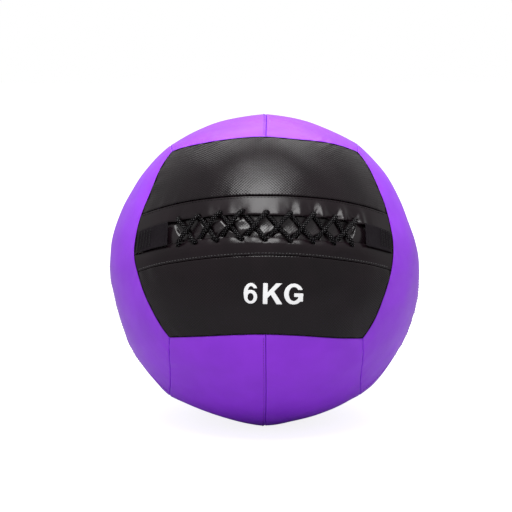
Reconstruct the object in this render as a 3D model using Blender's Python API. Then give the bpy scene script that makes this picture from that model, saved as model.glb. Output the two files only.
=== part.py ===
# Laced wall ball: a stuffed ball with a sewn vinyl cover of six faces, each in two panels.
# The front face has a filling slit between two lace bands, closed by two crossing lace cords.
# Metres, +Z up. The ball stands on z = 0, rolled back so that its laced face looks up.
# In the ball's own frame the laced face looks along -Y, +X is right and +Z is up.

import math

import bmesh
import bpy
from mathutils import Matrix, Vector

# The whole ball
BALL_RADIUS = 0.1775
BALL_ROLL = math.radians(26.25)
REST_FLATTENING = 0.0045

# The face pattern: half of a face's narrow way, and how finely a half face is divided
NARROW_HALF_ANGLE = math.radians(37.5)
FACE_COLUMN_COUNT = 10
HALF_FACE_ROW_COUNT = 5

# Cover
VINYL_THICKNESS = 0.0012
SEAM_ALLOWANCE = 0.008
HEM_DEPTH = 0.0024
CLEARANCE = 0.0003

# Lace bands and the slit between them
SLIT_WIDTH = 0.024
BAND_WIDTH = 0.0212
BAND_COLUMN_COUNT = 14
BAND_ROW_COUNT = 2
WEBBING_WIDTH = 0.014
WEBBING_THICKNESS = 0.001

# Lacing
HOLE_COUNT = 9
HOLE_SETBACK = 0.0053
LEFT_HOLE_MARGIN = 0.0135
RIGHT_HOLE_MARGIN = 0.0097
HOLE_DIAMETER = 0.0072
HOLE_SIDE_COUNT = 12
CORD_DIAMETER = 0.0052
CORD_CLEARANCE = 0.0006
CORD_KNOT_DIAMETER = 0.0084
CORD_TAIL = 0.014
CORD_TAIL_SHARES = (1, 0.8, 0.6, 0.3)
CORD_TURN_ANGLES = tuple(math.radians(angle) for angle in (70, 25, -25, -70))
CROSSING_REACH = 0.0006
CROSSING_SHARES = (0.85, 0.2, -0.2, -0.85)

# Tongue behind the lacing, lapped by both bands
TONGUE_LAP = 0.013
TONGUE_END_MARGIN = 0.012
TONGUE_CROWN = 0.0054
TONGUE_CROWN_LAP = 0.002
TONGUE_COLUMN_COUNT = 12
TONGUE_ROW_COUNT = 8

# Webbing tabs over the ends of the slit, each from its side seam inwards
LEFT_TAB_LENGTH = 0.053
RIGHT_TAB_LENGTH = 0.0493
TAB_LAP = 0.003
TAB_THICKNESS = 0.0012
TAB_COLUMN_COUNT = 3
TAB_ROW_COUNT = 2
TAB_STITCH_START = 0.028
TAB_STITCH_LENGTH = 0.014
TAB_STITCH_MARGIN = 0.004
TAB_STITCH_COUNT = 9

# Sewing thread
THREAD_DIAMETER = 0.0008
THREAD_SIDE_COUNT = 4
TOPSTITCH_SPACING = 0.0025

# Padding, inner bag and filling
FOAM_THICKNESS = 0.012
LINER_THICKNESS = 0.001
LINER_MOUTH_RADIUS = 0.02
DRAWCORD_DIAMETER = 0.003
CORE_RADIUS = 0.055
CORE_BAG_THICKNESS = 0.0015
CORE_NECK_RADIUS = 0.009
CORE_NECK_LENGTH = 0.022
TIE_DIAMETER = 0.003
TURNED_SEGMENT_COUNT = 20
TURNED_RING_COUNT = 10
RING_SIDE_COUNT = 6

SMOOTH_ANGLE = math.radians(40)

RIGHT = Vector((1, 0, 0))
BACK = Vector((0, 1, 0))
UP = Vector((0, 0, 1))
FRONT = -BACK
DOWN_IN_BALL = Matrix.Rotation(BALL_ROLL, 3, "X") @ -UP

CORNER_SHARE = 1 / math.sqrt(3)
WIDE_HALF_ANGLE = math.pi / 2 - NARROW_HALF_ANGLE

# Each face: the way it looks, its wide way and its narrow way
FACE_AXES = {
    "front": (FRONT, RIGHT, UP),
    "back": (BACK, RIGHT, UP),
    "top": (UP, BACK, RIGHT),
    "bottom": (-UP, BACK, RIGHT),
    "right": (RIGHT, UP, BACK),
    "left": (-RIGHT, UP, BACK),
}

# Places on the laced face, worked out from the slit outwards
BAND_SEAM_REACH = SLIT_WIDTH / 2 + BAND_WIDTH
HOLE_ROW_REACH = SLIT_WIDTH / 2 + HOLE_SETBACK
TONGUE_REACH = SLIT_WIDTH / 2 + TONGUE_LAP
TONGUE_CROWN_REACH = SLIT_WIDTH / 2 + TONGUE_CROWN_LAP
TAB_REACH = SLIT_WIDTH / 2 + TAB_LAP
TAB_STITCH_REACH = TAB_REACH - TAB_STITCH_MARGIN

# Depths below the ball's surface, each worked out from the layer above it
BAND_BACK_DEPTH = VINYL_THICKNESS + CLEARANCE + WEBBING_THICKNESS
TONGUE_DEPTH = BAND_BACK_DEPTH + CLEARANCE + CORD_KNOT_DIAMETER + CLEARANCE
FOAM_TOP_DEPTH = VINYL_THICKNESS + 2 * CLEARANCE
FOAM_BACK_DEPTH = max(FOAM_TOP_DEPTH + FOAM_THICKNESS, TONGUE_DEPTH + VINYL_THICKNESS)
FACET_HALF_ANGLE = math.hypot(WIDE_HALF_ANGLE / FACE_COLUMN_COUNT, NARROW_HALF_ANGLE / HALF_FACE_ROW_COUNT / 2)
FACET_SAG = BALL_RADIUS * (1 - math.cos(FACET_HALF_ANGLE))
LINER_RADIUS = BALL_RADIUS - FOAM_BACK_DEPTH - FACET_SAG - CLEARANCE
STUFFING_RADIUS = LINER_RADIUS - LINER_THICKNESS - CLEARANCE

# Cord heights above the ball's surface, and the half turn that it makes round each lip
CORD_OVER = CORD_DIAMETER / 2 + CORD_CLEARANCE
CORD_UNDER = -BAND_BACK_DEPTH - CORD_CLEARANCE - CORD_DIAMETER / 2
CORD_TURN_RADIUS = (CORD_OVER - CORD_UNDER) / 2
CORD_TURN_HEIGHT = (CORD_OVER + CORD_UNDER) / 2
CROSSING_OVER = CORD_OVER + CROSSING_REACH
CROSSING_UNDER = CROSSING_OVER - CORD_DIAMETER - CORD_CLEARANCE - CROSSING_REACH


def clear_scene():
    for item in list(bpy.data.objects):
        bpy.data.objects.remove(item, do_unlink=True)


def make_material(name, colour, roughness):
    material = bpy.data.materials.new(name)
    material.use_nodes = True
    shader = material.node_tree.nodes["Principled BSDF"]
    shader.inputs["Base Color"].default_value = (*colour, 1)
    shader.inputs["Roughness"].default_value = roughness
    shader.inputs["Metallic"].default_value = 0
    material.diffuse_color = (*colour, 1)
    return material


def make_object(name, bm, material, holder):
    bmesh.ops.recalc_face_normals(bm, faces=bm.faces[:])
    mesh = bpy.data.meshes.new(name)
    bm.to_mesh(mesh)
    bm.free()
    mesh.shade_smooth()
    mesh.set_sharp_from_angle(angle=SMOOTH_ANGLE)
    mesh.materials.append(material)
    piece = bpy.data.objects.new(name, mesh)
    piece.parent = holder
    bpy.context.collection.objects.link(piece)
    return piece


# The filling gives under the ball's weight, so what lies lowest is pressed flat.
# A deeper layer is pressed less, and the layers stay in their order.
def settled(point):
    radius = point.length
    level = radius - REST_FLATTENING * (radius / BALL_RADIUS) ** 3
    height = point.dot(DOWN_IN_BALL)
    if height <= level:
        return point
    return point - DOWN_IN_BALL * (height - level)


def on_ball(direction, depth):
    return settled(direction.normalized() * (BALL_RADIUS - depth))


# A place on the laced face: right and up along the surface, height out from it
def on_front(right, up, height=0):
    lift = up / BALL_RADIUS
    level = math.sqrt(1 - lift * lift)
    turn = right / BALL_RADIUS
    direction = FRONT * (level * math.cos(turn)) + RIGHT * (level * math.sin(turn)) + UP * lift
    return on_ball(direction, -height)


# An edge between two faces is an arc that runs along axis through its middle and two corners.
# The share goes from -1 at one corner, through 0 at the middle, to 1 at the other corner.
def edge_arc(axis, near_face, far_face):
    middle = near_face * math.cos(NARROW_HALF_ANGLE) + far_face * math.sin(NARROW_HALF_ANGLE)
    chord = ((near_face + far_face) * CORNER_SHARE - middle).normalized()
    centre = middle - chord * middle.dot(chord)
    reach = middle - centre
    full_swing = math.asin(CORNER_SHARE / reach.length)

    def direction(share):
        swing = full_swing * share
        return centre + reach * math.cos(swing) + axis * (reach.length * math.sin(swing))

    def share_at(level):
        return math.asin(level / reach.length) / full_swing

    return direction, share_at


# A patch of the sphere between four border curves, with shares from 0 to 1 both ways
def bordered_patch(bottom, top, left, right):
    def direction(u, v):
        ruled = bottom(u) * (1 - v) + top(u) * v + left(v) * (1 - u) + right(v) * u
        low = bottom(0) * (1 - u) + bottom(1) * u
        high = top(0) * (1 - u) + top(1) * u
        return (ruled - low * (1 - v) - high * v).normalized()

    return direction


# Half of a face, from its middle seam out to the neighbouring face on the given side
def half_face_patch(face, side):
    look, wide, narrow = FACE_AXES[face]
    outward = narrow * side
    long_edge, _ = edge_arc(wide, look, outward)
    left_edge, _ = edge_arc(outward, -wide, look)
    right_edge, _ = edge_arc(outward, wide, look)

    def middle_seam(u):
        turn = WIDE_HALF_ANGLE * (2 * u - 1)
        return look * math.cos(turn) + wide * math.sin(turn)

    return bordered_patch(middle_seam, lambda u: long_edge(2 * u - 1), left_edge, right_edge)


# A strip of the laced face between two levels above its middle line; None is the face's edge
def front_strip_patch(side, low, high=None):
    outward = UP * side
    long_edge, _ = edge_arc(RIGHT, FRONT, outward)
    left_edge, share_at = edge_arc(outward, -RIGHT, FRONT)
    right_edge, _ = edge_arc(outward, RIGHT, FRONT)
    low_share = share_at(low / BALL_RADIUS)
    high_share = 1 if high is None else share_at(high / BALL_RADIUS)

    def level_line(share):
        end = right_edge(share)
        span = math.atan2(end.dot(RIGHT), end.dot(FRONT))
        flat = math.hypot(end.dot(RIGHT), end.dot(FRONT))

        def direction(u):
            turn = span * (2 * u - 1)
            return FRONT * (flat * math.cos(turn)) + RIGHT * (flat * math.sin(turn)) + UP * end.z

        return direction

    def along(edge):
        return lambda v: edge(low_share + (high_share - low_share) * v)

    top = level_line(high_share) if high else lambda u: long_edge(2 * u - 1)
    return bordered_patch(level_line(low_share), top, along(left_edge), along(right_edge))


# A straight-sided patch of the laced face, given by its ends along the surface
def front_box_patch(left, right, low, high):
    def line(up):
        return lambda u: on_front(left + (right - left) * u, up).normalized()

    def column(place):
        return lambda v: on_front(place, low + (high - low) * v).normalized()

    return bordered_patch(line(low), line(high), column(left), column(right))


def inset_direction(patch, u, v, inset):
    angle = inset / BALL_RADIUS
    width = patch(0, v).angle(patch(1, v))
    height = patch(u, 0).angle(patch(u, 1))
    du = angle / width
    dv = angle / height
    return patch(du + u * (1 - 2 * du), dv + v * (1 - 2 * dv))


def grid_directions(patch, columns, rows, inset):
    grid = []
    for j in range(rows + 1):
        grid.append([inset_direction(patch, i / columns, j / rows, inset) for i in range(columns + 1)])
    return grid


def add_grid(bm, directions, depth_at):
    grid = []
    for row in directions:
        grid.append([bm.verts.new(on_ball(direction, depth_at(direction))) for direction in row])
    for low, high in zip(grid, grid[1:]):
        for i in range(len(low) - 1):
            add_split_quad(bm, (low[i], low[i + 1], high[i + 1], high[i]))
    return grid


# Two triangles, always split from the first corner, so that layers on each other stay parallel
def add_split_quad(bm, corners):
    bm.faces.new(corners[:3])
    bm.faces.new((corners[0], corners[2], corners[3]))


def border_of(grid):
    bottom = grid[0][:-1]
    right = [row[-1] for row in grid[:-1]]
    top = grid[-1][:0:-1]
    left = [row[0] for row in grid[:0:-1]]
    return bottom + right + top + left


def join_rings(bm, ring, other):
    count = len(ring)
    for k in range(count):
        following = (k + 1) % count
        bm.faces.new((ring[k], ring[following], other[following], other[k]))


# A plain layer of one thickness: foam, webbing or a tab
def make_layer(name, patch, columns, rows, inset, depth_at, thickness, material, holder):
    bm = bmesh.new()
    directions = grid_directions(patch, columns, rows, inset)
    outer = add_grid(bm, directions, depth_at)
    inner = add_grid(bm, directions, lambda direction: depth_at(direction) + thickness)
    join_rings(bm, border_of(outer), border_of(inner))
    return make_object(name, bm, material, holder)


# A cover panel whose borders turn in: a seam allowance at each seam, and a hem at an open edge
def make_panel(name, patch, columns, rows, material, holder, hemmed=False):
    bm = bmesh.new()
    directions = grid_directions(patch, columns, rows, CLEARANCE / 2)
    inner_directions = grid_directions(patch, columns, rows, CLEARANCE / 2 + VINYL_THICKNESS)
    outer_ring = border_of(add_grid(bm, directions, lambda direction: 0))
    inner_ring = border_of(add_grid(bm, inner_directions, lambda direction: VINYL_THICKNESS))
    depths = [SEAM_ALLOWANCE] * len(outer_ring)
    if hemmed:
        depths[1:columns] = [HEM_DEPTH] * (columns - 1)
    outer_foot = []
    inner_foot = []
    for outer, inner, depth in zip(border_of(directions), border_of(inner_directions), depths):
        outer_foot.append(bm.verts.new(on_ball(outer, depth)))
        inner_foot.append(bm.verts.new(on_ball(inner, depth)))
    join_rings(bm, outer_ring, outer_foot)
    join_rings(bm, outer_foot, inner_foot)
    join_rings(bm, inner_foot, inner_ring)
    return make_object(name, bm, material, holder)


# A tube along a list of points, for thread
def make_thread(name, points, material, holder):
    bm = bmesh.new()
    rings = []
    for k, point in enumerate(points):
        before = points[max(k - 1, 0)]
        after = points[min(k + 1, len(points) - 1)]
        run = (after - before).normalized()
        out = (point - run * point.dot(run)).normalized()
        side = run.cross(out)
        ring = []
        for s in range(THREAD_SIDE_COUNT):
            angle = math.tau * s / THREAD_SIDE_COUNT
            reach = out * math.cos(angle) + side * math.sin(angle)
            ring.append(bm.verts.new(point + reach * (THREAD_DIAMETER / 2)))
        rings.append(ring)
    for ring, other in zip(rings, rings[1:]):
        join_rings(bm, ring, other)
    bm.faces.new(rings[0])
    bm.faces.new(rings[-1])
    return make_object(name, bm, material, holder)


# A body turned about the ball's front-to-back axis. Each profile point is a distance from that
# axis and a distance along it towards the front; a point on the axis is a pole.
def make_turned(name, profile, material, holder, closed=False):
    bm = bmesh.new()
    rings = []
    for reach, along in profile:
        if reach == 0:
            rings.append([bm.verts.new(settled(FRONT * along))])
            continue
        ring = []
        for s in range(TURNED_SEGMENT_COUNT):
            angle = math.tau * s / TURNED_SEGMENT_COUNT
            place = FRONT * along + RIGHT * (reach * math.cos(angle)) + UP * (reach * math.sin(angle))
            ring.append(bm.verts.new(settled(place)))
        rings.append(ring)
    pairs = list(zip(rings, rings[1:]))
    if closed:
        pairs.append((rings[-1], rings[0]))
    for ring, other in pairs:
        back_ring, front_ring = sorted((ring, other), key=lambda verts: -verts[0].co.y)
        for s in range(TURNED_SEGMENT_COUNT):
            following = (s + 1) % TURNED_SEGMENT_COUNT
            if len(back_ring) == 1:
                bm.faces.new((back_ring[0], front_ring[s], front_ring[following]))
            elif len(front_ring) == 1:
                bm.faces.new((front_ring[0], back_ring[s], back_ring[following]))
            else:
                add_split_quad(bm, (back_ring[s], back_ring[following], front_ring[following], front_ring[s]))
    return make_object(name, bm, material, holder)


# Profile points on an arc about the ball's centre, at whole ring angles between two angles
def arc_profile(radius, start, end):
    step = math.pi / TURNED_RING_COUNT
    angles = [start]
    low, high = min(start, end), max(start, end)
    between = [k * step for k in range(TURNED_RING_COUNT + 1) if low + step / 4 < k * step < high - step / 4]
    angles += between if start < end else between[::-1]
    angles.append(end)
    points = []
    for angle in angles:
        reach = 0 if angle in (0, math.pi) else radius * math.sin(angle)
        points.append((reach, radius * math.cos(angle)))
    return points


def make_ring(name, ring_radius, along, thickness, material, holder):
    profile = []
    for s in range(RING_SIDE_COUNT):
        angle = math.tau * s / RING_SIDE_COUNT
        reach = ring_radius + thickness / 2 * math.cos(angle)
        profile.append((reach, along + thickness / 2 * math.sin(angle)))
    return make_turned(name, profile, material, holder, closed=True)


# How far round the ball the laced face's side seam lies, at the height of the tabs
def side_seam_reach():
    side_edge, share_at = edge_arc(UP, RIGHT, FRONT)
    ends = (side_edge(0), side_edge(share_at(TAB_REACH / BALL_RADIUS)))
    return BALL_RADIUS * min(math.atan2(end.dot(RIGHT), end.dot(FRONT)) for end in ends)


# The holes are spread evenly between the two tabs
def hole_place(index):
    left = -side_seam_reach() + LEFT_TAB_LENGTH + LEFT_HOLE_MARGIN
    right = side_seam_reach() - RIGHT_TAB_LENGTH - RIGHT_HOLE_MARGIN
    return left + (right - left) * index / (HOLE_COUNT - 1)


def cut_holes(piece, side, holder):
    cutter_length = 2 * (BAND_BACK_DEPTH + HEM_DEPTH)
    bm = bmesh.new()
    for index in range(HOLE_COUNT):
        place = on_front(hole_place(index), side * HOLE_ROW_REACH)
        turn = place.to_track_quat("Z", "Y").to_matrix().to_4x4()
        bmesh.ops.create_cone(
            bm, cap_ends=True, segments=HOLE_SIDE_COUNT, radius1=HOLE_DIAMETER / 2, radius2=HOLE_DIAMETER / 2,
            depth=cutter_length, matrix=Matrix.Translation(place) @ turn)
    cutter = make_object(piece.name + "_holes", bm, piece.data.materials[0], holder)
    cutter.hide_render = True
    cutter.display_type = "WIRE"
    cut = piece.modifiers.new("lace holes", "BOOLEAN")
    cut.operation = "DIFFERENCE"
    cut.object = cutter
    cut.solver = "EXACT"


# The route of one lace cord, which starts in the upper or lower row of holes and zigzags to the right.
# It crosses the slit, turns down round the far lip into a hole and comes out again under that lip.
# Only its first strand starts above the lip. Where two strands cross, each runs level for a little,
# and the one that climbs to the right lies on top.
def cord_route(first_side):
    row = HOLE_ROW_REACH
    slope = (hole_place(1) - hole_place(0)) / (2 * row)
    turn_up = row - CORD_TURN_RADIUS
    knot_height = -BAND_BACK_DEPTH - CLEARANCE - CORD_KNOT_DIAMETER / 2
    last = HOLE_COUNT - 1
    route = []
    for index in range(HOLE_COUNT):
        side = first_side if index % 2 == 0 else -first_side
        place = hole_place(index)
        turns = [(angle, -math.copysign(1, angle)) for angle in CORD_TURN_ANGLES]
        if index == 0:
            route += tail_points(place, side * row, knot_height, -1)
            turns = [(angle, 1) for angle in CORD_TURN_ANGLES[::-1] if angle > 0]
        elif index == last:
            turns = [(angle, -1) for angle in CORD_TURN_ANGLES if angle > 0]
        for angle, way in turns:
            up = turn_up + CORD_TURN_RADIUS * math.cos(angle)
            right = place + way * (row - up) * slope
            route.append((right, side * up, CORD_TURN_HEIGHT + CORD_TURN_RADIUS * math.sin(angle)))
        if index == last:
            route += tail_points(place, side * row, knot_height, 1)[::-1]
            continue
        crossing = CROSSING_UNDER if side > 0 else CROSSING_OVER
        heights = (CORD_OVER if index == 0 else CORD_UNDER, crossing, crossing, CORD_OVER)
        for share, height in zip(CROSSING_SHARES, heights):
            up = turn_up * share
            route.append((place + (row - up) * slope, side * up, height))
    return route


# The hidden end of a cord behind the band, from its stopper knot to just under the hole
def tail_points(place, up, knot_height, way):
    points = [(place + way * CORD_TAIL * share, up, knot_height) for share in CORD_TAIL_SHARES]
    return points + [(place + way * CORD_DIAMETER / 4, up, knot_height + CORD_DIAMETER / 2)]


def make_cord(name, first_side, material, holder):
    route = cord_route(first_side)
    curve = bpy.data.curves.new(name, "CURVE")
    curve.dimensions = "3D"
    curve.bevel_depth = CORD_DIAMETER / 2
    curve.bevel_resolution = 2
    curve.use_fill_caps = True
    curve.resolution_u = 1
    curve.render_resolution_u = 0
    spline = curve.splines.new("POLY")
    spline.points.add(len(route) - 1)
    knot_share = CORD_KNOT_DIAMETER / CORD_DIAMETER
    for point, (right, up, height) in zip(spline.points, route):
        point.co = (*on_front(right, up, height), 1)
    for index in (0, 1, -1, -2):
        spline.points[index].radius = knot_share
    spline.use_smooth = True
    curve.materials.append(material)
    cord = bpy.data.objects.new(name, curve)
    cord.parent = holder
    bpy.context.collection.objects.link(cord)
    return cord


def make_cover(vinyl, colour_faces, holder):
    names = {
        "back": ("back_upper_panel", "back_lower_panel"),
        "top": ("top_right_panel", "top_left_panel"),
        "bottom": ("bottom_right_panel", "bottom_left_panel"),
        "right": ("right_back_panel", "right_front_panel"),
        "left": ("left_back_panel", "left_front_panel"),
    }
    for face, halves in names.items():
        for name, side in zip(halves, (1, -1)):
            patch = half_face_patch(face, side)
            material = vinyl["purple"] if face in colour_faces else vinyl["black"]
            make_panel(name, patch, FACE_COLUMN_COUNT, HALF_FACE_ROW_COUNT, material, holder)


def make_front_face(vinyl, webbing, thread, holder):
    for side, name in ((1, "upper"), (-1, "lower")):
        panel_patch = front_strip_patch(side, BAND_SEAM_REACH)
        make_panel("front_%s_panel" % name, panel_patch, FACE_COLUMN_COUNT, HALF_FACE_ROW_COUNT - 1,
                   vinyl["black"], holder)
        band_patch = front_strip_patch(side, SLIT_WIDTH / 2, BAND_SEAM_REACH)
        band = make_panel("%s_lace_band" % name, band_patch, BAND_COLUMN_COUNT, BAND_ROW_COUNT, vinyl["band"],
                          holder, hemmed=True)
        cut_holes(band, side, holder)
        low = SLIT_WIDTH / 2 + VINYL_THICKNESS + CLEARANCE
        strip_patch = front_strip_patch(side, low, low + WEBBING_WIDTH)
        strip = make_layer("%s_band_webbing" % name, strip_patch, BAND_COLUMN_COUNT, 1,
                           VINYL_THICKNESS + 2 * CLEARANCE, lambda direction: VINYL_THICKNESS + CLEARANCE,
                           WEBBING_THICKNESS, webbing, holder)
        cut_holes(strip, side, holder)
        stitch_patch = front_strip_patch(side, SLIT_WIDTH / 2, BAND_SEAM_REACH - TOPSTITCH_SPACING)
        height = CLEARANCE + THREAD_DIAMETER / 2
        points = []
        for i in range(BAND_COLUMN_COUNT + 1):
            points.append(on_ball(inset_direction(stitch_patch, i / BAND_COLUMN_COUNT, 1, CLEARANCE), -height))
        make_thread("%s_band_thread" % name, points, thread, holder)


def make_tongue(material, holder):
    reach = BALL_RADIUS * WIDE_HALF_ANGLE - TONGUE_END_MARGIN
    patch = front_box_patch(-reach, reach, -TONGUE_REACH, TONGUE_REACH)

    def depth_at(direction):
        up = abs(direction.z) * BALL_RADIUS
        if up >= TONGUE_CROWN_REACH:
            return TONGUE_DEPTH
        return TONGUE_DEPTH - TONGUE_CROWN * math.cos(math.pi / 2 * up / TONGUE_CROWN_REACH) ** 2

    make_layer("lace_tongue", patch, TONGUE_COLUMN_COUNT, TONGUE_ROW_COUNT, CLEARANCE, depth_at,
               VINYL_THICKNESS, material, holder)


# Each tab runs from the face's side seam in to the lacing
def make_tabs(webbing, thread, holder):
    reach = side_seam_reach()
    for way, name, length in ((-1, "left", LEFT_TAB_LENGTH), (1, "right", RIGHT_TAB_LENGTH)):
        start = way * (reach - length)
        left, right = sorted((start, way * (reach - CLEARANCE)))
        patch = front_box_patch(left, right, -TAB_REACH, TAB_REACH)
        top = CLEARANCE + TAB_THICKNESS
        make_layer("%s_end_tab" % name, patch, TAB_COLUMN_COUNT, TAB_ROW_COUNT, 0, lambda direction: -top,
                   TAB_THICKNESS, webbing, holder)
        height = top + CLEARANCE + THREAD_DIAMETER / 2
        points = []
        for turn in range(TAB_STITCH_COUNT + 1):
            up = TAB_STITCH_REACH * (2 * turn / TAB_STITCH_COUNT - 1)
            aside = TAB_STITCH_START + TAB_STITCH_LENGTH * (turn % 2)
            points.append(on_front(start + way * aside, up, height))
        make_thread("%s_tab_stitching" % name, points, thread, holder)


def make_foam(material, holder):
    inset = CLEARANCE / 2 + VINYL_THICKNESS + CLEARANCE
    names = {
        "back": ("back_upper_foam", "back_lower_foam"),
        "top": ("top_right_foam", "top_left_foam"),
        "bottom": ("bottom_right_foam", "bottom_left_foam"),
        "right": ("right_back_foam", "right_front_foam"),
        "left": ("left_back_foam", "left_front_foam"),
    }
    for face, halves in names.items():
        for name, side in zip(halves, (1, -1)):
            make_layer(name, half_face_patch(face, side), FACE_COLUMN_COUNT, HALF_FACE_ROW_COUNT, inset,
                       lambda direction: FOAM_TOP_DEPTH, FOAM_THICKNESS, material, holder)
    for name, side in (("front_upper_foam", 1), ("front_lower_foam", -1)):
        make_layer(name, front_strip_patch(side, BAND_SEAM_REACH), FACE_COLUMN_COUNT, HALF_FACE_ROW_COUNT - 1,
                   inset, lambda direction: FOAM_TOP_DEPTH, FOAM_THICKNESS, material, holder)


def make_liner(canvas, cord, holder):
    inner = LINER_RADIUS - LINER_THICKNESS
    mouth = math.asin(LINER_MOUTH_RADIUS / LINER_RADIUS)
    profile = arc_profile(inner, math.pi, mouth) + arc_profile(LINER_RADIUS, mouth, math.pi)
    make_turned("inner_bag", profile, canvas, holder)
    ring_radius = inner * math.sin(mouth) - CLEARANCE - DRAWCORD_DIAMETER / 2
    along = (inner + LINER_RADIUS) / 2 * math.cos(mouth)
    make_ring("inner_bag_drawcord", ring_radius, along, DRAWCORD_DIAMETER, cord, holder)


def make_filling(textile, canvas, cord, sand, holder):
    half_gap = CLEARANCE / 2
    hollow = CORE_RADIUS + CLEARANCE
    outer_end = math.acos(half_gap / STUFFING_RADIUS)
    hollow_end = math.acos(half_gap / hollow)
    neck_end = CORE_RADIUS + CORE_NECK_LENGTH
    neck_room = CORE_NECK_RADIUS + CLEARANCE + TIE_DIAMETER + CLEARANCE
    neck_angle = math.asin(neck_room / hollow)
    front = arc_profile(STUFFING_RADIUS, 0, outer_end) + arc_profile(hollow, hollow_end, neck_angle)
    front += [(neck_room, neck_end + CLEARANCE), (0, neck_end + CLEARANCE)]
    make_turned("front_stuffing", front, textile, holder)
    back = arc_profile(hollow, math.pi, math.pi - hollow_end)
    back += arc_profile(STUFFING_RADIUS, math.pi - outer_end, math.pi)
    make_turned("back_stuffing", back, textile, holder)

    inner = CORE_RADIUS - CORE_BAG_THICKNESS
    neck_inner = CORE_NECK_RADIUS - CORE_BAG_THICKNESS
    bag = arc_profile(inner, math.pi, math.asin(neck_inner / inner))
    bag += [(neck_inner, neck_end), (CORE_NECK_RADIUS, neck_end)]
    bag += arc_profile(CORE_RADIUS, math.asin(CORE_NECK_RADIUS / CORE_RADIUS), math.pi)
    make_turned("core_bag", bag, canvas, holder)
    tie_radius = CORE_NECK_RADIUS + CLEARANCE + TIE_DIAMETER / 2
    make_ring("core_bag_tie", tie_radius, CORE_RADIUS + CORE_NECK_LENGTH / 2, TIE_DIAMETER, cord, holder)
    make_turned("sand_fill", arc_profile(inner - CLEARANCE, 0, math.pi), sand, holder)


def main():
    clear_scene()
    holder = bpy.data.objects.new("ball_frame", None)
    holder.location = (0, 0, BALL_RADIUS - REST_FLATTENING)
    holder.rotation_euler = (-BALL_ROLL, 0, 0)
    bpy.context.collection.objects.link(holder)

    vinyl = {
        "purple": make_material("purple vinyl", (0.39, 0.07, 0.93), 0.38),
        "black": make_material("black vinyl", (0.021, 0.018, 0.021), 0.42),
        "band": make_material("glossy black vinyl", (0.018, 0.016, 0.018), 0.3),
    }
    webbing = make_material("black webbing", (0.014, 0.012, 0.016), 0.75)
    cord = make_material("black braided cord", (0.01, 0.009, 0.01), 0.6)
    bag_cord = make_material("natural cord", (0.6, 0.55, 0.44), 0.8)
    thread = make_material("black thread", (0.012, 0.011, 0.012), 0.6)
    canvas = make_material("natural canvas", (0.55, 0.5, 0.4), 0.85)
    foam = make_material("white foam", (0.75, 0.73, 0.68), 0.9)
    textile = make_material("shredded textile", (0.35, 0.36, 0.38), 0.95)
    sand = make_material("iron sand", (0.12, 0.11, 0.1), 0.7)

    make_cover(vinyl, ("top", "bottom", "left", "right"), holder)
    make_front_face(vinyl, webbing, thread, holder)
    make_tongue(vinyl["band"], holder)
    make_tabs(webbing, thread, holder)
    make_cord("lace_cord_one", 1, cord, holder)
    make_cord("lace_cord_two", -1, cord, holder)
    make_foam(foam, holder)
    make_liner(canvas, bag_cord, holder)
    make_filling(textile, canvas, bag_cord, sand, holder)


main()
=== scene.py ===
import math
from functools import partial

import bpy
import numpy as np
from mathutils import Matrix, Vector
from mathutils.bvhtree import BVHTree


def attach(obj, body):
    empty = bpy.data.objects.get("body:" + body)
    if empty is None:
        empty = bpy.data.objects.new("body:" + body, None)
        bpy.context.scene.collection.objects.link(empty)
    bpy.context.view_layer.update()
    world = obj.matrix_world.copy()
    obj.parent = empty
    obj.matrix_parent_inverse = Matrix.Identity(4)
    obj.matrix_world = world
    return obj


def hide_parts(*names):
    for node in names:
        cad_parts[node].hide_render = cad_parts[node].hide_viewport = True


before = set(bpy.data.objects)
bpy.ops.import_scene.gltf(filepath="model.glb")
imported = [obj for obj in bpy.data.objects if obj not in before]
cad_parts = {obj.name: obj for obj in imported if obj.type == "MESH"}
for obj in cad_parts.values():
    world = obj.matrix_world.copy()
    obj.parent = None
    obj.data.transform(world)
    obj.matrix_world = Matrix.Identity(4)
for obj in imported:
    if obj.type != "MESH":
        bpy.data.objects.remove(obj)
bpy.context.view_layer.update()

ball = {
    "radius": 0.1775,
    "roll": math.radians(26.25),  # how far the laced face looks up
    "restFlattening": 0.0045,
    "restSoftness": 0.0008,
    "narrowHalfAngle": math.radians(37.5),
}
ballRadius = ball["radius"]
ballCentre = np.array([0, 0, ballRadius - ball["restFlattening"]])

# each face: the way it looks, its wide way and its narrow way
right, back, up = np.eye(3)
front = -back
faceAxes = {
    "front": (front, right, up),
    "back": (back, right, up),
    "top": (up, back, right),
    "bottom": (-up, back, right),
    "right": (right, up, back),
    "left": (-right, up, back),
}


# helpers for materials; the world takes nodes in the same way

def newMaterial(name, colour, roughness, specular):
    material = bpy.data.materials.new(name)
    material.use_nodes = True
    sockets = material.node_tree.nodes["Principled BSDF"].inputs
    sockets["Base Color"].default_value = (*colour, 1)
    sockets["Roughness"].default_value = roughness
    sockets["Specular IOR Level"].default_value = specular
    return material


def addNode(material, kind, inputs=None, **settings):
    node = material.node_tree.nodes.new(kind)
    for key, value in settings.items():
        setattr(node, key, value)
    for key, value in (inputs or {}).items():
        if isinstance(value, bpy.types.NodeSocket):
            material.node_tree.links.new(value, node.inputs[key])
        else:
            node.inputs[key].default_value = value
    return node


def connect(material, output, socket, shader="Principled BSDF"):
    material.node_tree.links.new(output, material.node_tree.nodes[shader].inputs[socket])


def addMath(material, operation, *values, **settings):
    inputs = dict(enumerate(values))
    return addNode(material, "ShaderNodeMath", inputs, operation=operation, **settings).outputs[0]


def addRange(material, value, low, high, newLow=0, newHigh=1):
    inputs = dict(enumerate((value, low, high, newLow, newHigh)))
    return addNode(material, "ShaderNodeMapRange", inputs).outputs[0]


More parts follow.
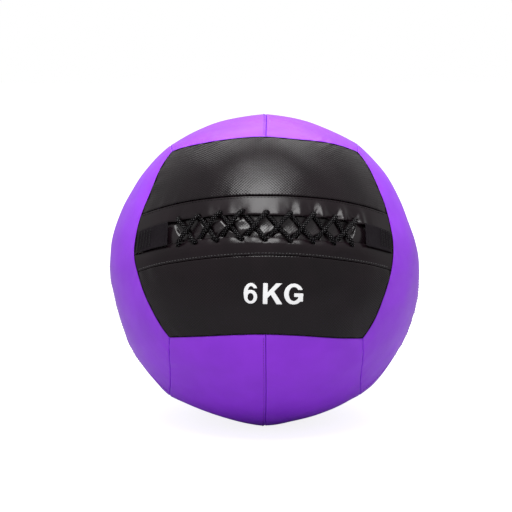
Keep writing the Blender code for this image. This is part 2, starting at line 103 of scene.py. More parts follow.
def addNoise(material, place, scale, detail=2.0, roughness=0.5):
    inputs = {"Vector": place, "Scale": scale, "Detail": detail, "Roughness": roughness}
    return addNode(material, "ShaderNodeTexNoise", inputs).outputs["Fac"]


def addCells(material, place, scale):
    return addNode(material, "ShaderNodeTexVoronoi", {"Vector": place, "Scale": scale}).outputs["Distance"]


def addWaves(material, distances, lengths):
    return [addMath(material, "COSINE", addMath(material, "MULTIPLY", distance, math.tau / length))
            for distance, length in zip(distances, lengths)]


# the base colour goes from one colour to the other as a value goes from low to high
def paint(material, value, low, high, colour, other):
    share = addRange(material, value, low, high)
    inputs = {0: share, 6: (*colour, 1), 7: (*other, 1)}
    connect(material, addNode(material, "ShaderNodeMix", inputs, data_type="RGBA").outputs[2], "Base Color")


# each bump is a height, its strength and its distance
def addBumps(material, *bumps):
    normal = {}
    for height, strength, distance in bumps:
        inputs = {"Height": height, "Strength": strength, "Distance": distance, **normal}
        normal = {"Normal": addNode(material, "ShaderNodeBump", inputs).outputs[0]}
    connect(material, normal["Normal"], "Normal")


def objectPlace(material):
    return addNode(material, "ShaderNodeTexCoord").outputs["Object"]


# flat cloth coordinates, in metres
def clothPlace(material):
    split = addNode(material, "ShaderNodeSeparateXYZ", {0: addNode(material, "ShaderNodeUVMap").outputs[0]})
    return split.outputs[0], split.outputs[1]


# helpers for meshes

def makePiece(name, points, faces, material, uvs=None):
    mesh = bpy.data.meshes.new(name)
    mesh.from_pydata(points.tolist(), [], faces)
    mesh.shade_smooth()
    mesh.materials.append(material)
    if uvs is not None:
        layer = mesh.uv_layers.new(name="UVMap")
        corners = np.zeros(len(mesh.loops), int)
        mesh.loops.foreach_get("vertex_index", corners)
        layer.data.foreach_set("uv", uvs[corners].astype(np.float32).ravel())
    mesh.validate()
    piece = bpy.data.objects.new(name, mesh)
    bpy.context.scene.collection.objects.link(piece)
    return piece


def dressed(piece, slotName, *nodes):
    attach(piece, "root")
    if nodes:
        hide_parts(*nodes)


# the piece gets a thickness, as plain mesh
def thicken(piece, thickness):
    shell = piece.modifiers.new("thickness", "SOLIDIFY")
    shell.thickness, shell.offset, shell.use_rim = thickness, -1, True
    graph = bpy.context.evaluated_depsgraph_get()
    thin, thick = piece.data, bpy.data.meshes.new_from_object(piece.evaluated_get(graph))
    piece.modifiers.clear()
    piece.data = thick
    bpy.data.meshes.remove(thin)


# several meshes as one, each given by its points and its faces
def joined(parts):
    points, faces, start = [], [], 0
    for part in parts:
        points.append(part[0])
        faces += [[corner + start for corner in face] for face in part[1]]
        start += len(part[0])
    return np.concatenate(points), faces


def gridFaces(rows, columns):
    index = np.arange(rows * columns).reshape(rows, columns)
    corners = (index[:-1, :-1], index[:-1, 1:], index[1:, 1:], index[1:, :-1])
    return np.stack(corners, -1).reshape(-1, 4).tolist()


def loopOf(grid):
    return np.concatenate([grid[0, :-1], grid[:-1, -1], grid[-1, :0:-1], grid[:0:-1, 0]])


def ringFaces(outer, inner):
    return np.stack([outer, np.roll(outer, -1), np.roll(inner, -1), inner], -1).tolist()


# camera, lamps and stage

studio = {
    "cameraDistance": 1.775,
    "cameraElevation": 10.6,
    "cameraAzimuth": -0.7,
    "lens": 108,
    "sensorWidth": 36,
    "clipEnd": 50,
    "imageSize": 512,
    "ballOffset": (8, 14),  # pixels right of and below the picture's middle
    "lamps": (  # name, place, size and power
        ("overheadLamp", (-0.06, -0.86, 2.16), (0.95, 1.30), 48),
        ("rearLamp", (0.05, 1.25, 1.9), (1.9, 1.1), 17),
    ),
    "worldStrength": 0.54,
    "worldGlossy": 0.15,  # how far reflections go from that strength towards the white backdrop
    "floorLook": ((0.48, 0.48, 0.49), 0.9, 0.1),  # colour, roughness and specular level
    "floorLift": 0.85,  # added where the camera looks at the floor, so it reads as white
    "floorHalf": 6.0,
}


# a camera or a lamp that faces the ball
def addFacing(data, place):
    holder = bpy.data.objects.new(data.name, data)
    holder.location = place
    holder.rotation_euler = Vector(place - ballCentre).to_track_quat("Z", "Y").to_euler()
    bpy.context.scene.collection.objects.link(holder)
    return holder


def makeStudio():
    scene = bpy.context.scene
    scene.view_settings.view_transform = "Standard"
    elevation, azimuth = math.radians(studio["cameraElevation"]), math.radians(studio["cameraAzimuth"])
    flat = math.cos(elevation)
    way = np.array([flat * math.sin(azimuth), -flat * math.cos(azimuth), math.sin(elevation)])
    lens = bpy.data.cameras.new("camera")
    lens.lens, lens.sensor_width, lens.clip_end = studio["lens"], studio["sensorWidth"], studio["clipEnd"]
    lens.shift_x = -studio["ballOffset"][0] / studio["imageSize"]
    lens.shift_y = studio["ballOffset"][1] / studio["imageSize"]
    scene.camera = addFacing(lens, ballCentre + way * studio["cameraDistance"])

    for name, place, (wide, high), power in studio["lamps"]:
        light = bpy.data.lights.new(name, "AREA")
        light.shape = "RECTANGLE"
        light.size, light.size_y, light.energy = wide, high, power
        addFacing(light, np.array(place))

    # the world and the floor look white to the camera and in reflections, and light the ball softly
    world = bpy.data.worlds.new("studio")
    world.use_nodes = True
    scene.world = world
    world.node_tree.nodes["Background"].inputs["Color"].default_value = (1, 1, 1, 1)
    rays = addNode(world, "ShaderNodeLightPath").outputs
    seen = addMath(world, "MAXIMUM", rays["Is Camera Ray"], rays["Is Transmission Ray"])
    seen = addMath(world, "MULTIPLY_ADD", rays["Is Glossy Ray"], studio["worldGlossy"], seen, use_clamp=True)
    connect(world, addRange(world, seen, 0, 1, studio["worldStrength"], 1), "Strength", "Background")

    material = newMaterial("studioFloor", *studio["floorLook"])
    rays = addNode(material, "ShaderNodeLightPath").outputs
    lift = addMath(material, "MULTIPLY", rays["Is Camera Ray"], studio["floorLift"])
    connect(material, lift, "Emission Strength")
    corners = studio["floorHalf"] * np.array([(-1, -1, 0), (1, -1, 0), (1, 1, 0), (-1, 1, 0)])
    makePiece("studioFloor", corners, [(0, 1, 2, 3)], material)


makeStudio()
print("camera, lamps and floor are ready")


# vinyl and cloth

vinylLooks = {
    # colour, shade, the range of roughness, specular level, strength of the grain and of the emboss
    "purple": ((0.34, 0.034, 0.90), (0.305, 0.029, 0.83), (0.38, 0.46), 0.36, 0.10, 0),
    "black": ((0.0065, 0.0031, 0.0048), (0.0045, 0.0022, 0.0034), (0.25, 0.27), 0.26, 0.03, 0.34),
    "gloss": ((0.0085, 0.0042, 0.0063), (0.006, 0.003, 0.0045), (0.28, 0.31), 0.25, 0.03, 0),
    "tongue": ((0.0085, 0.0042, 0.0063), (0.006, 0.003, 0.0045), (0.27, 0.33), 0.45, 0.04, 0.12),
}
vinylDetail = {
    "mottleScale": 28,
    "mottleRange": (0.35, 0.65),
    "wearScale": 70,
    "wearRoughness": 0.6,
    "wearRange": (0.3, 0.7),
    "grainScale": 1600,
    "grainDistance": 0.0003,
    "embossLength": 0.0034,
    "embossDistance": 0.0002,
    "embossDulling": 0.045,
}

clothLooks = {
    # colour, shade, roughness, specular level and the lengths of the weave's waves
    "blackWebbing": ((0.0085, 0.0045, 0.0085), (0.003, 0.0016, 0.003), 0.62, 0.15, (0.0021, 0.0016)),
    "blackThread": ((0.012, 0.011, 0.012), (0.004, 0.004, 0.004), 0.5, 0.25, (0.0007, 0.0005)),
    "greyThread": ((0.15, 0.145, 0.15), (0.05, 0.048, 0.05), 0.6, 0.25, (0.0007, 0.0005)),
    "purpleThread": ((0.30, 0.05, 0.72), (0.18, 0.025, 0.45), 0.55, 0.25, (0.0007, 0.0005)),
}
clothDetail = {
    "fuzzScale": 900,
    "fuzzShare": 0.9,
    "fuzzBump": (0.3, 0.0002),  # strength and distance
    "weaveShare": 0.3,
    "weaveBump": (0.7, 0.0003),
    "shadeRange": (0.1, 0.8),
}


def makeVinyl(name, colour, shade, roughness, specular, grain, emboss):
    material = newMaterial(name, colour, roughness[0], specular)
    place = objectPlace(material)
    mottle = addNoise(material, place, vinylDetail["mottleScale"], 3)
    paint(material, mottle, *vinylDetail["mottleRange"], colour, shade)
    wear = addNoise(material, place, vinylDetail["wearScale"], 4, vinylDetail["wearRoughness"])
    wear = addRange(material, wear, *vinylDetail["wearRange"], *roughness)
    cells = addCells(material, place, vinylDetail["grainScale"])
    bumps = [(cells, grain, vinylDetail["grainDistance"])]
    if emboss:
        waves = addWaves(material, clothPlace(material), [vinylDetail["embossLength"]] * 2)
        weave = addMath(material, "MULTIPLY", *waves)
        bumps.append((weave, emboss, vinylDetail["embossDistance"]))
        wear = addMath(material, "MULTIPLY_ADD", weave, vinylDetail["embossDulling"], wear)
    connect(material, wear, "Roughness")
    addBumps(material, *bumps)
    return material


# the fine loose fibres of cloth and cord
def addFuzz(material):
    return addNoise(material, objectPlace(material), clothDetail["fuzzScale"])


def makeCloth(name, colour, shade, roughness, specular, lengths):
    material = newMaterial(name, colour, roughness, specular)
    across, along = clothPlace(material)
    slants = [addMath(material, operation, across, along) for operation in ("ADD", "SUBTRACT")]
    weave = addMath(material, "MULTIPLY", *addWaves(material, slants, lengths))
    fuzz = addFuzz(material)
    share = addMath(material, "MULTIPLY", fuzz, clothDetail["fuzzShare"])
    share = addMath(material, "MULTIPLY_ADD", weave, clothDetail["weaveShare"], share)
    paint(material, share, *clothDetail["shadeRange"], shade, colour)
    addBumps(material, (weave, *clothDetail["weaveBump"]), (fuzz, *clothDetail["fuzzBump"]))
    return material


vinyl = {name: makeVinyl(name + "Vinyl", *look) for name, look in vinylLooks.items()}
cloth = {name: makeCloth(name, *look) for name, look in clothLooks.items()}
print("materials are ready")


# places on the ball

# How far the sewn faces lie off an even layout: degrees right of and above the laced face's middle,
# reach in radians, and the shift there to the right and up in metres.
layoutShifts = (
    (-45, 35, 0.30, -0.0105, 0.0113), (45, 35, 0.30, 0.0108, 0.0106),
    (-45, -35, 0.30, -0.0030, 0.0009), (45, -35, 0.30, 0.0058, -0.0009),
    (-52, 20, 0.30, 0.0126, -0.0035), (52, 20, 0.30, -0.0101, -0.0037),
    (-54, 0, 0.30, -0.0054, -0.0012), (54, 0, 0.30, 0.0006, 0),
    (-52, -20, 0.30, 0.0022, 0.0027), (52, -20, 0.30, -0.0042, 0.0024),
    (-22, 38, 0.30, 0, -0.0025), (22, 38, 0.30, -0.0011, -0.0022), (0, 40, 0.30, 0.0008, 0.0023),
    (-22, -38, 0.30, 0.0003, -0.0013), (22, -38, 0.30, 0, -0.0018), (0, -38, 0.30, -0.0005, -0.0004),
    (0, 12.5, 0.16, 0, -0.0008),
    (-52, -58, 0.40, 0.0020, -0.0061), (52, -58, 0.40, -0.0009, -0.0045), (0, 62, 0.40, 0.0024, 0.0076),
    (-40, 18, 0.22, 0.0018, 0), (-45, 3, 0.18, 0.0018, 0), (-40, -24, 0.24, 0.0019, 0),
    (40, -24, 0.20, -0.0012, 0), (0, -30, 0.30, 0, 0.0008),
)


def unit(vectors):
    return vectors / np.linalg.norm(vectors, axis=-1, keepdims=True)


def angleBetween(one, other):
    return np.arccos(np.clip((unit(one) * unit(other)).sum(-1), -1, 1))


def asSewn(direction):
    moved = direction
    for across, rise, reach, shiftAcross, shiftUp in layoutShifts:
        across, rise = math.radians(across), math.radians(rise)
        flat = math.cos(rise)
        middle = np.array([flat * math.sin(across), -flat * math.cos(across), math.sin(rise)])
        wide = unit(np.cross(up, middle))
        shift = (wide * shiftAcross + np.cross(middle, wide) * shiftUp) / ballRadius
        moved = moved + shift * np.exp(-(angleBetween(direction, middle) / reach) ** 2)[..., None]
    return unit(moved)


# From a direction in the ball's frame and a height above its surface to a point in the row's frame.
# What lies lowest is pressed flat by the ball's weight.
def onBall(direction, height):
    reach = ballRadius + np.asarray(height)
    x, y, z = np.moveaxis(asSewn(unit(direction)) * reach[..., None], -1, 0)
    cos, sin = math.cos(ball["roll"]), math.sin(ball["roll"])
    y, z = y * cos + z * sin, z * cos - y * sin
    flattening, softness = ball["restFlattening"], ball["restSoftness"]
    level = reach - flattening * (reach / ballRadius) ** 3
    level = np.minimum(level, ballRadius - flattening)  # nothing goes below the floor
    z = z + softness * np.logaddexp(0, (-z - level) / softness)
    return np.stack([x, y, z + ballCentre[2]], -1)


# a direction from a place on the laced face: across and rise are measured along its surface
def faceDirection(across, rise):
    lift = rise / ballRadius
    flat = np.sqrt(1 - lift * lift)
    turn = across / ballRadius
    return np.stack([flat * np.sin(turn), -flat * np.cos(turn), lift + 0 * turn], -1)


def facePlace(direction):
    return np.arctan2(direction[..., 0], -direction[..., 1]) * ballRadius, direction[..., 2] * ballRadius


# An edge between two faces is an arc through its middle and two corners, with shares from -1 to 1.
def edgeArc(axis, nearFace, farFace):
    narrow = ball["narrowHalfAngle"]
    middle = nearFace * math.cos(narrow) + farFace * math.sin(narrow)
    chord = unit((nearFace + farFace) / math.sqrt(3) - middle)
    centre = middle - chord * middle.dot(chord)
    reach = middle - centre
    length = np.linalg.norm(reach)
    fullSwing = math.asin(1 / math.sqrt(3) / length)

    def direction(share):
        swing = fullSwing * np.asarray(share, float)[..., None]
        return centre + reach * np.cos(swing) + axis * (length * np.sin(swing))

    return direction, lambda level: math.asin(level / length) / fullSwing


# A patch of the ball between four border curves, with its size at each u and v.
def makePatch(bottom, top, leftEdge, rightEdge):
    ends = [edge(np.array(share)) for edge in (bottom, top) for share in (0.0, 1.0)]

    def direction(u, v):
        wideShare, highShare = u[..., None], v[..., None]
        ruled = bottom(u) * (1 - highShare) + top(u) * highShare
        ruled = ruled + leftEdge(v) * (1 - wideShare) + rightEdge(v) * wideShare
        low = ends[0] * (1 - wideShare) + ends[1] * wideShare
        high = ends[2] * (1 - wideShare) + ends[3] * wideShare
        return unit(ruled - low * (1 - highShare) - high * highShare)

    span = np.linspace(0, 1, 41)  # where the patch is measured
    none, full = np.zeros_like(span), np.ones_like(span)
    widths = ballRadius * angleBetween(direction(none, span), direction(full, span))
    heights = ballRadius * angleBetween(direction(span, none), direction(span, full))
    return {
        "direction": direction,
        "width": lambda v: np.interp(v, span, widths),
        "height": lambda u: np.interp(u, span, heights),
    }


# A strip on one side of a face's middle line, between two levels. Without a high level it goes out to
# the neighbouring face.
def stripPatch(face, side, low=0, high=None):
    look, wide, narrow = faceAxes[face]
    outward = narrow * side
    longEdge, _ = edgeArc(wide, look, outward)
    leftEdge, shareAt = edgeArc(outward, -wide, look)
    rightEdge, _ = edgeArc(outward, wide, look)
    lowShare = shareAt(low / ballRadius)
    highShare = shareAt(high / ballRadius) if high else 1

    def levelLine(share):
        end = rightEdge(np.array(share))
        span, flat = math.atan2(end @ wide, end @ look), math.hypot(end @ wide, end @ look)

        def direction(u):
            turn = span * (2 * np.asarray(u)[..., None] - 1)
            return look * (flat * np.cos(turn)) + wide * (flat * np.sin(turn)) + outward * (end @ outward)

        return direction

    def along(edge):
        return lambda v: edge(lowShare + (highShare - lowShare) * np.asarray(v))

    top = levelLine(highShare) if high else lambda u: longEdge(2 * np.asarray(u) - 1)
    return makePatch(levelLine(lowShare), top, along(leftEdge), along(rightEdge))


# a straight-sided patch of the laced face
def boxPatch(leftEnd, rightEnd, low, high):
    def line(rise):
        return lambda u: faceDirection(leftEnd + (rightEnd - leftEnd) * np.asarray(u), rise)

    def column(across):
        return lambda v: faceDirection(across, low + (high - low) * np.asarray(v))

    return makePatch(line(low), line(high), column(leftEnd), column(rightEnd))


# soft irregular waves over points, or along distances: a few seeded waves, added up
def ripple(places, wavelength, seed, solid=True):
    draws = np.random.default_rng(seed)
    waves, shortest, longest = (7, 0.7, 1.5) if solid else (5, 0.6, 1.6)
    total = 0
    for _ in range(waves):
        distance = places @ unit(draws.normal(size=3)) if solid else places
        length = wavelength * draws.uniform(shortest, longest)
        total = total + np.sin(distance * (math.tau / length) + draws.uniform(0, math.tau))
    return total / math.sqrt(waves / 2)


def smoothStep(value, low, high):
    share = np.clip((value - low) / (high - low), 0, 1)
    return share * share * (3 - 2 * share)


# straight lines between points, with the corners rounded over a reach
def smoothCurve(value, places, levels, reach):
    offsets = np.linspace(-1, 1, 9) * reach  # nine places are averaged
    return sum(np.interp(value + offset, places, levels) for offset in offsets) / len(offsets)


# grids on patches; a grid's lines are given by their insets beside the borders and their spacing

# where the lines lie across a patch: each is a share of the size and an offset
def gridLines(size, insets, spacing):
    count = max(2, round((size - 2 * insets[-1]) / spacing))
    inner = np.arange(1, count) / count
    edge = np.array(insets)
    shares = np.concatenate([0 * edge, inner, 0 * edge + 1])
    return shares, np.concatenate([edge, insets[-1] * (1 - 2 * inner), -edge[::-1]])


def gridOn(patch, wideLines, highLines=None, outermost=None):
    half = np.array(0.5)
    width, height = float(patch["width"](half)), float(patch["height"](half))
    columns, rows = gridLines(width, *wideLines), gridLines(height, *(highLines or wideLines))
    if outermost is not None:
        for _, offsets in (columns, rows):
            offsets[0], offsets[-1] = outermost, -outermost
    uLevel, vLevel = columns[0] + columns[1] / width, rows[0] + rows[1] / height
    u = columns[0][None, :] + columns[1][None, :] / patch["width"](vLevel)[:, None]
    v = rows[0][:, None] + rows[1][:, None] / patch["height"](uLevel)[None, :]
    return u, v


# Points and directions at u and v on a surface, which is a patch, its height and perhaps its shift along
# the face. Both of those, and a layer's depth under the surface, are told how far the borders are.
def layerOn(surface, u, v, depthAt=None):
    patch, heightAt, shiftAt = surface
    width, height = patch["width"](v), patch["height"](u)
    borders = u * width, (1 - u) * width, v * height, (1 - v) * height
    direction = patch["direction"](u, v)
    height = heightAt(direction, borders)
    if depthAt:
        height = height - depthAt(borders)
    if shiftAt:
        direction = shiftAt(direction, borders)
    return onBall(direction, height), direction


# The part of each grid cell where the shape is negative, cut off in straight lines between the corners.
# A corner is its number in the grid, and one on a cut is numbered after those, as a share of the way
# between two of them.
def clippedCells(shape):
    value = shape.ravel()
    cuts, faces = {}, []
    for ring in gridFaces(*shape.shape):
        values = value[ring]
        if values.min() >= 0:
            continue
        if values.max() < 0:
            faces.append(ring)
            continue
        face = []
        for here, there in zip(ring, ring[1:] + ring[:1]):
            if value[here] < 0:
                face.append(here)
            if (value[here] < 0) != (value[there] < 0):
                face.append(cuts.setdefault((min(here, there), max(here, there)), shape.size + len(cuts)))
        if len(face) >= 3:
            faces.append(face)
    first, second = np.array(list(cuts)).T
    return faces, first, second, value[first] / (value[first] - value[second])


def withCuts(values, first, second, share):
    values = values.reshape(-1, values.shape[-1])
    return np.concatenate([values, values[first] + (values[second] - values[first]) * share[:, None]])


# a layer without the cells where a shape isn't negative: its points, directions and faces
def punched(points, directions, shape):
    faces, *cuts = clippedCells(shape)
    return withCuts(points, *cuts), withCuts(directions, *cuts), faces


# only the points that the faces use, renumbered
def onlyUsed(points, faces, *others):
    used, corners = np.unique(np.concatenate(faces), return_inverse=True)
    ends = np.cumsum([len(face) for face in faces])[:-1]
    faces = [part.tolist() for part in np.split(corners, ends)]
    return (points[used], faces, *(other[used] for other in others))


# flat cloth coordinates in metres, measured from the patch's middle along its own sides
def patchUvs(patch, spot):
    half = np.array([0.5])
    out = unit(patch["direction"](half, half)[0])
    wide = unit(patch["direction"](2 * half, half)[0] - patch["direction"](0 * half, half)[0])
    forward = spot @ out
    return np.stack([np.arctan2(spot @ way, forward) for way in (wide, np.cross(out, wide))], -1) * ballRadius


# A piece of one thickness whose outer side is a layer. Its faces are the whole grid unless they're given,
# and without a patch it has no cloth coordinates.
def makeShell(name, patch, points, directions, thickness, material, faces=None):
    faces = faces or gridFaces(*points.shape[:2])
    points, faces, directions = onlyUsed(points.reshape(-1, 3), faces, directions.reshape(-1, 3))
    a, b, c = points[faces[0][:3]]
    if np.cross(b - a, c - a).dot(a - ballCentre) < 0:
        faces = [face[::-1] for face in faces]
    uvs = patchUvs(patch, directions * ballRadius) if patch else None
    piece = makePiece(name, points, faces, material, uvs)
    thicken(piece, thickness)
    return piece


# lines and tubes

def alongLine(points):
    steps = np.linalg.norm(np.diff(points, axis=0), axis=1)
    return np.concatenate([[0], np.cumsum(steps)])


def pointsAt(line, places):
    run = alongLine(line)
    return np.stack([np.interp(places, run, line[:, k]) for k in range(line.shape[1])], -1)


def respaced(line, spacing):
    length = alongLine(line)[-1]
    return pointsAt(line, np.linspace(0, length, max(2, round(length / spacing)) + 1))


# a closed tube round points: its rings lie between two ways across it, with a radius for each corner
def ringedTube(points, across, over, radius):
    rings, sides = radius.shape
    angles = np.arange(sides) * math.tau / sides
    ring = across[:, None] * np.cos(angles)[:, None] + over[:, None] * np.sin(angles)[:, None]
    surface = points[:, None] + ring * radius[..., None]
    index = np.arange(rings * sides).reshape(rings, sides)
    following = np.roll(index, -1, 1)
    faces = np.stack([index[:-1], following[:-1], following[1:], index[1:]], -1).reshape(-1, 4).tolist()
    return surface.reshape(-1, 3), faces + [index[0, ::-1].tolist(), index[-1].tolist()]


# A closed tube along points, whose rings turn as little as they can: points, faces and cloth coordinates.
# radiusAt takes the angle round it and the distance along it.
def tubeAlong(points, sides, radiusAt):
    runs = unit(np.gradient(points, axis=0))
    side = unit(np.cross(runs[0], points[0] - ballCentre))
    across = []
    for run in runs:
        side = unit(side - run * side.dot(run))
        across.append(side)
    across = np.array(across)
    angles, distances = np.meshgrid(np.arange(sides) * math.tau / sides, alongLine(points))
    radius = radiusAt(angles, distances)
    surface, faces = ringedTube(points, across, np.cross(runs, across), radius)
    return surface, faces, np.stack([angles * radius.mean(), distances], -1).reshape(-1, 2)


# the cover: panels whose borders roll down and turn in at the seams, over a filling that isn't even

sewing = {
    "halfGap": 0.00015,
    "rollRadius": 0.0011,
    "rimDepths": (0.0011, 0.0037, 0.006),
    "lines": ((0.0003, 0.0007, 0.00125, 0.0026, 0.0048, 0.008), 0.0032),  # insets and spacing
    "thickness": 0.0011,
    "allowance": 0.008,  # what is turned in at a seam
    "cutSpacing": 0.01,  # between the places at which a cut piece is measured
}

cover = {
    "seamRise": 0.0010,
    "flatDepth": 0.0014,
    "flatReach": 0.026,
    "lumps": ((0.09, 0.0003, 3), (0.042, 0.00018, 8)),  # wavelength, height, seed
    "puckerDepth": 0.0002,
    "puckerReach": 0.009,
    "puckerLength": 0.015,
    # the filling's bulges and hollows round the outline seen from the front: degrees from the
    # right side, reach and height
    "bulges": (
        (22, 0.030, -0.0046), (50, 0.035, 0.0020), (82, 0.045, 0.0010), (112, 0.030, 0.0014),
        (134, 0.030, 0.0012), (164, 0.022, 0.0010), (197, 0.046, -0.0050), (231, 0.022, 0.0028),
        (251, 0.034, -0.0044), (273, 0.020, 0.0018), (300, 0.022, 0.0010), (315, 0.032, 0.0044),
        (334, 0.034, 0.0026), (350, 0.026, 0.0014),
    ),
}

panels = {
    # face: its two halves and their look
    "back": ("upper", "lower", "black"),
    "top": ("right", "left", "purple"),
    "bottom": ("right", "left", "purple"),
    "right": ("back", "front", "purple"),
    "left": ("back", "front", "purple"),
    "front": ("upper", "lower", "black"),
}


def lumps(spot, table):
    return sum(ripple(spot, wavelength, seed) * depth for wavelength, depth, seed in table)


def coverRelief(direction):
    spot = direction * ballRadius
    height = lumps(spot, cover["lumps"])
    lean = ball["roll"] - math.radians(studio["cameraElevation"])
    for degrees, reach, rise in cover["bulges"]:
        wide, high = math.cos(math.radians(degrees)), math.sin(math.radians(degrees))
        middle = np.array([wide, -math.sin(lean) * high, math.cos(lean) * high]) * ballRadius
        height = height + rise * np.exp(-(np.linalg.norm(spot - middle, axis=-1) / reach) ** 2)
    return height


def coverHeight(direction, borders, seed):
    flat = 1
    for away in borders:
        flat = flat * (1 - np.exp(-np.maximum(away, 0) / cover["flatReach"]))
    height = cover["seamRise"] - cover["flatDepth"] * flat + coverRelief(direction)
    for k, (away, along) in enumerate(((0, 2), (1, 2), (2, 0), (3, 0))):
        wave = ripple(borders[along], cover["puckerLength"], 4 * seed + k, solid=False)
        height = height + cover["puckerDepth"] * wave * np.exp(-borders[away] / cover["puckerReach"])
    return height


# how deep the vinyl rolls down into a seam
def seamRoll(borders):
    radius = sewing["rollRadius"]
    reach = np.clip(sewing["halfGap"] + radius - np.minimum.reduce(borders), 0, radius)
    return radius - np.sqrt(radius * radius - reach * reach)


# A piece of cover material with turned-in borders. lowRim is how much of the turned-in depth the low
# border has, and holesAt is negative where the piece isn't punched.
def makeCoverPiece(name, surface, material, lines=(sewing["lines"],), lowRim=1, holesAt=None):
    patch, gap = surface[0], sewing["halfGap"]
    points, directions = layerOn(surface, *gridOn(patch, *lines), seamRoll)
    faces = gridFaces(*points.shape[:2])
    inner = loopOf(np.arange(points[..., 0].size).reshape(points.shape[:2]))
    if holesAt:
        points, directions, faces = punched(points, directions, holesAt(directions))
    points, directions = [points.reshape(-1, 3)], [directions.reshape(-1, 3)]
    start = len(points[0])
    for depth in sewing["rimDepths"]:

        def depthAt(borders, depth=depth):
            share = np.where(borders[2] < 2 * gap, lowRim, 1)
            return depth * np.where(np.minimum(borders[0], borders[1]) < 2 * gap, 1, share)

        for grid, loops in zip(layerOn(surface, *gridOn(patch, *lines, outermost=gap), depthAt),
                               (points, directions)):
            loops.append(loopOf(grid))
        outer = np.arange(start, start + len(inner))
        faces += ringFaces(outer, inner)
        inner = outer
        start += len(inner)
    return makeShell(name, patch, np.concatenate(points), np.concatenate(directions), sewing["thickness"],
                     material, faces)


# the flat piece that is cut for a sheet's patch: its places, width and length are worked out, and nothing
# keeps them
def declareSheet(patch):
    spacing = sewing["cutSpacing"]
    places = patch["direction"](*gridOn(patch, ((0.0, spacing), spacing))) * ballRadius
    turnedIn = 2 * sewing["allowance"]
    width = float(patch["width"](np.array([0.0, 0.5, 1.0])).max()) + turnedIn
    length = float(patch["height"](0.5)) + turnedIn


def pieceName(node):
    first, *others = node.split("_")
    return first + "".join(word.capitalize() for word in others)


# the lacing: two cords that cross, each through holes in both bands in turn

# in the dictionaries, 1 stands for the upper band and -1 for the lower one
bandNames = {1: "upper", -1: "lower"}

lacing = {
    "slitWidth": 0.024,
    "bandWidth": 0.0212,
    # where the holes have come to lie, to the right of the face's middle and away from the slit's
    "holes": {
        1: (-0.098, -0.0727, -0.0484, -0.0243, 0.0012, 0.0262, 0.0514, 0.0762, 0.1018),
        -1: (-0.098, -0.0765, -0.0518, -0.0253, -0.0003, 0.0262, 0.0508, 0.0745, 0.0968),
    },
    "rows": {
        1: (0.0143, 0.0138, 0.0149, 0.0154, 0.0130, 0.0131, 0.0140, 0.0135, 0.0140),
        -1: (0.0142, 0.0146, 0.0149, 0.0155, 0.0165, 0.0173, 0.0172, 0.0162, 0.0152),
    },
    "holeDiameter": 0.0050,
    "holeStrip": 0.0005,  # what is left between a hole and the lip
    "cordClearance": 0.00015,
    "crossings": {1: -0.0022, -1: 0.0024},  # heights at which a cord passes under or over the other
    "underLip": -0.0039,
    "lifts": {1: 0.0014, -1: 0.0003},  # how far the lips stand out from the ball
    "pressesFrom": 0.0012,  # heights of the cord from which it counts as over or under a sheet
    "liftsUpTo": -0.0030,
    "cordDiameter": 0.0047,
    "knotDiameter": 0.0084,
    "knotDepth": 0.0028,  # from the ball down to a knot's top
    "tailLength": 0.014,
    "tailTurn": math.radians(62),  # from the slit's line
    "tailShares": (1, 0.8, 0.6, 0.3),
    "turnAngles": (70, 25, -25, -70),  # where the route has its points round a lip, in degrees
    "crossingShares": (0.12, 0.28, 0.42, 0.60, 0.84),  # and on its way over the slit
    "smoothing": 0.0012,
    "ringSpacing": 0.00046,
    "sides": 32,
    "strands": 4,
    "strandSpacing": 0.0028,
    "strandHeight": 0.0006,
    "strandRise": 0.0001,  # how far the strands stand out past the diameter
    "strandBase": 0.45,  # how full a strand stays where the others dip
    "tabRise": 0.015,  # how far up and down the tabs reach at most
    "roughness": 0.45,
    "specular": 0.06,
    "colour": (0.0020, 0.0015, 0.0020),
    "paintedGlintColour": (0.28, 0.27, 0.28),  # painted highlight: a pale fleck where the braid's strands come to the top
    "paintedGlintRange": (2.0, 2.35),
    "fuzzShare": 0.5,
}
seamRow = lacing["slitWidth"] / 2 + lacing["bandWidth"]
cordRadius = lacing["cordDiameter"] / 2
cordOver = cordRadius + lacing["cordClearance"]
turnRadius = (cordOver - lacing["underLip"]) / 2
lastHole = len(lacing["holes"][1]) - 1
holeSteps = np.arange(-1, lastHole + 2)


def hole(side, index):
    return lacing["holes"][side][index], side * lacing["rows"][side][index]


# the knotted end behind a band, which leads away from the slit
def cordTail(place, rise, way):
    knotHeight = -lacing["knotDepth"] - lacing["knotDiameter"] / 2
    sideways, outward = way * math.cos(lacing["tailTurn"]), math.copysign(math.sin(lacing["tailTurn"]), rise)
    reaches = [(lacing["tailLength"] * share, knotHeight) for share in lacing["tailShares"]]
    reaches.append((cordRadius / 2, knotHeight + cordRadius))
    return [(place + sideways * reach, rise + outward * reach, height) for reach, height in reaches]


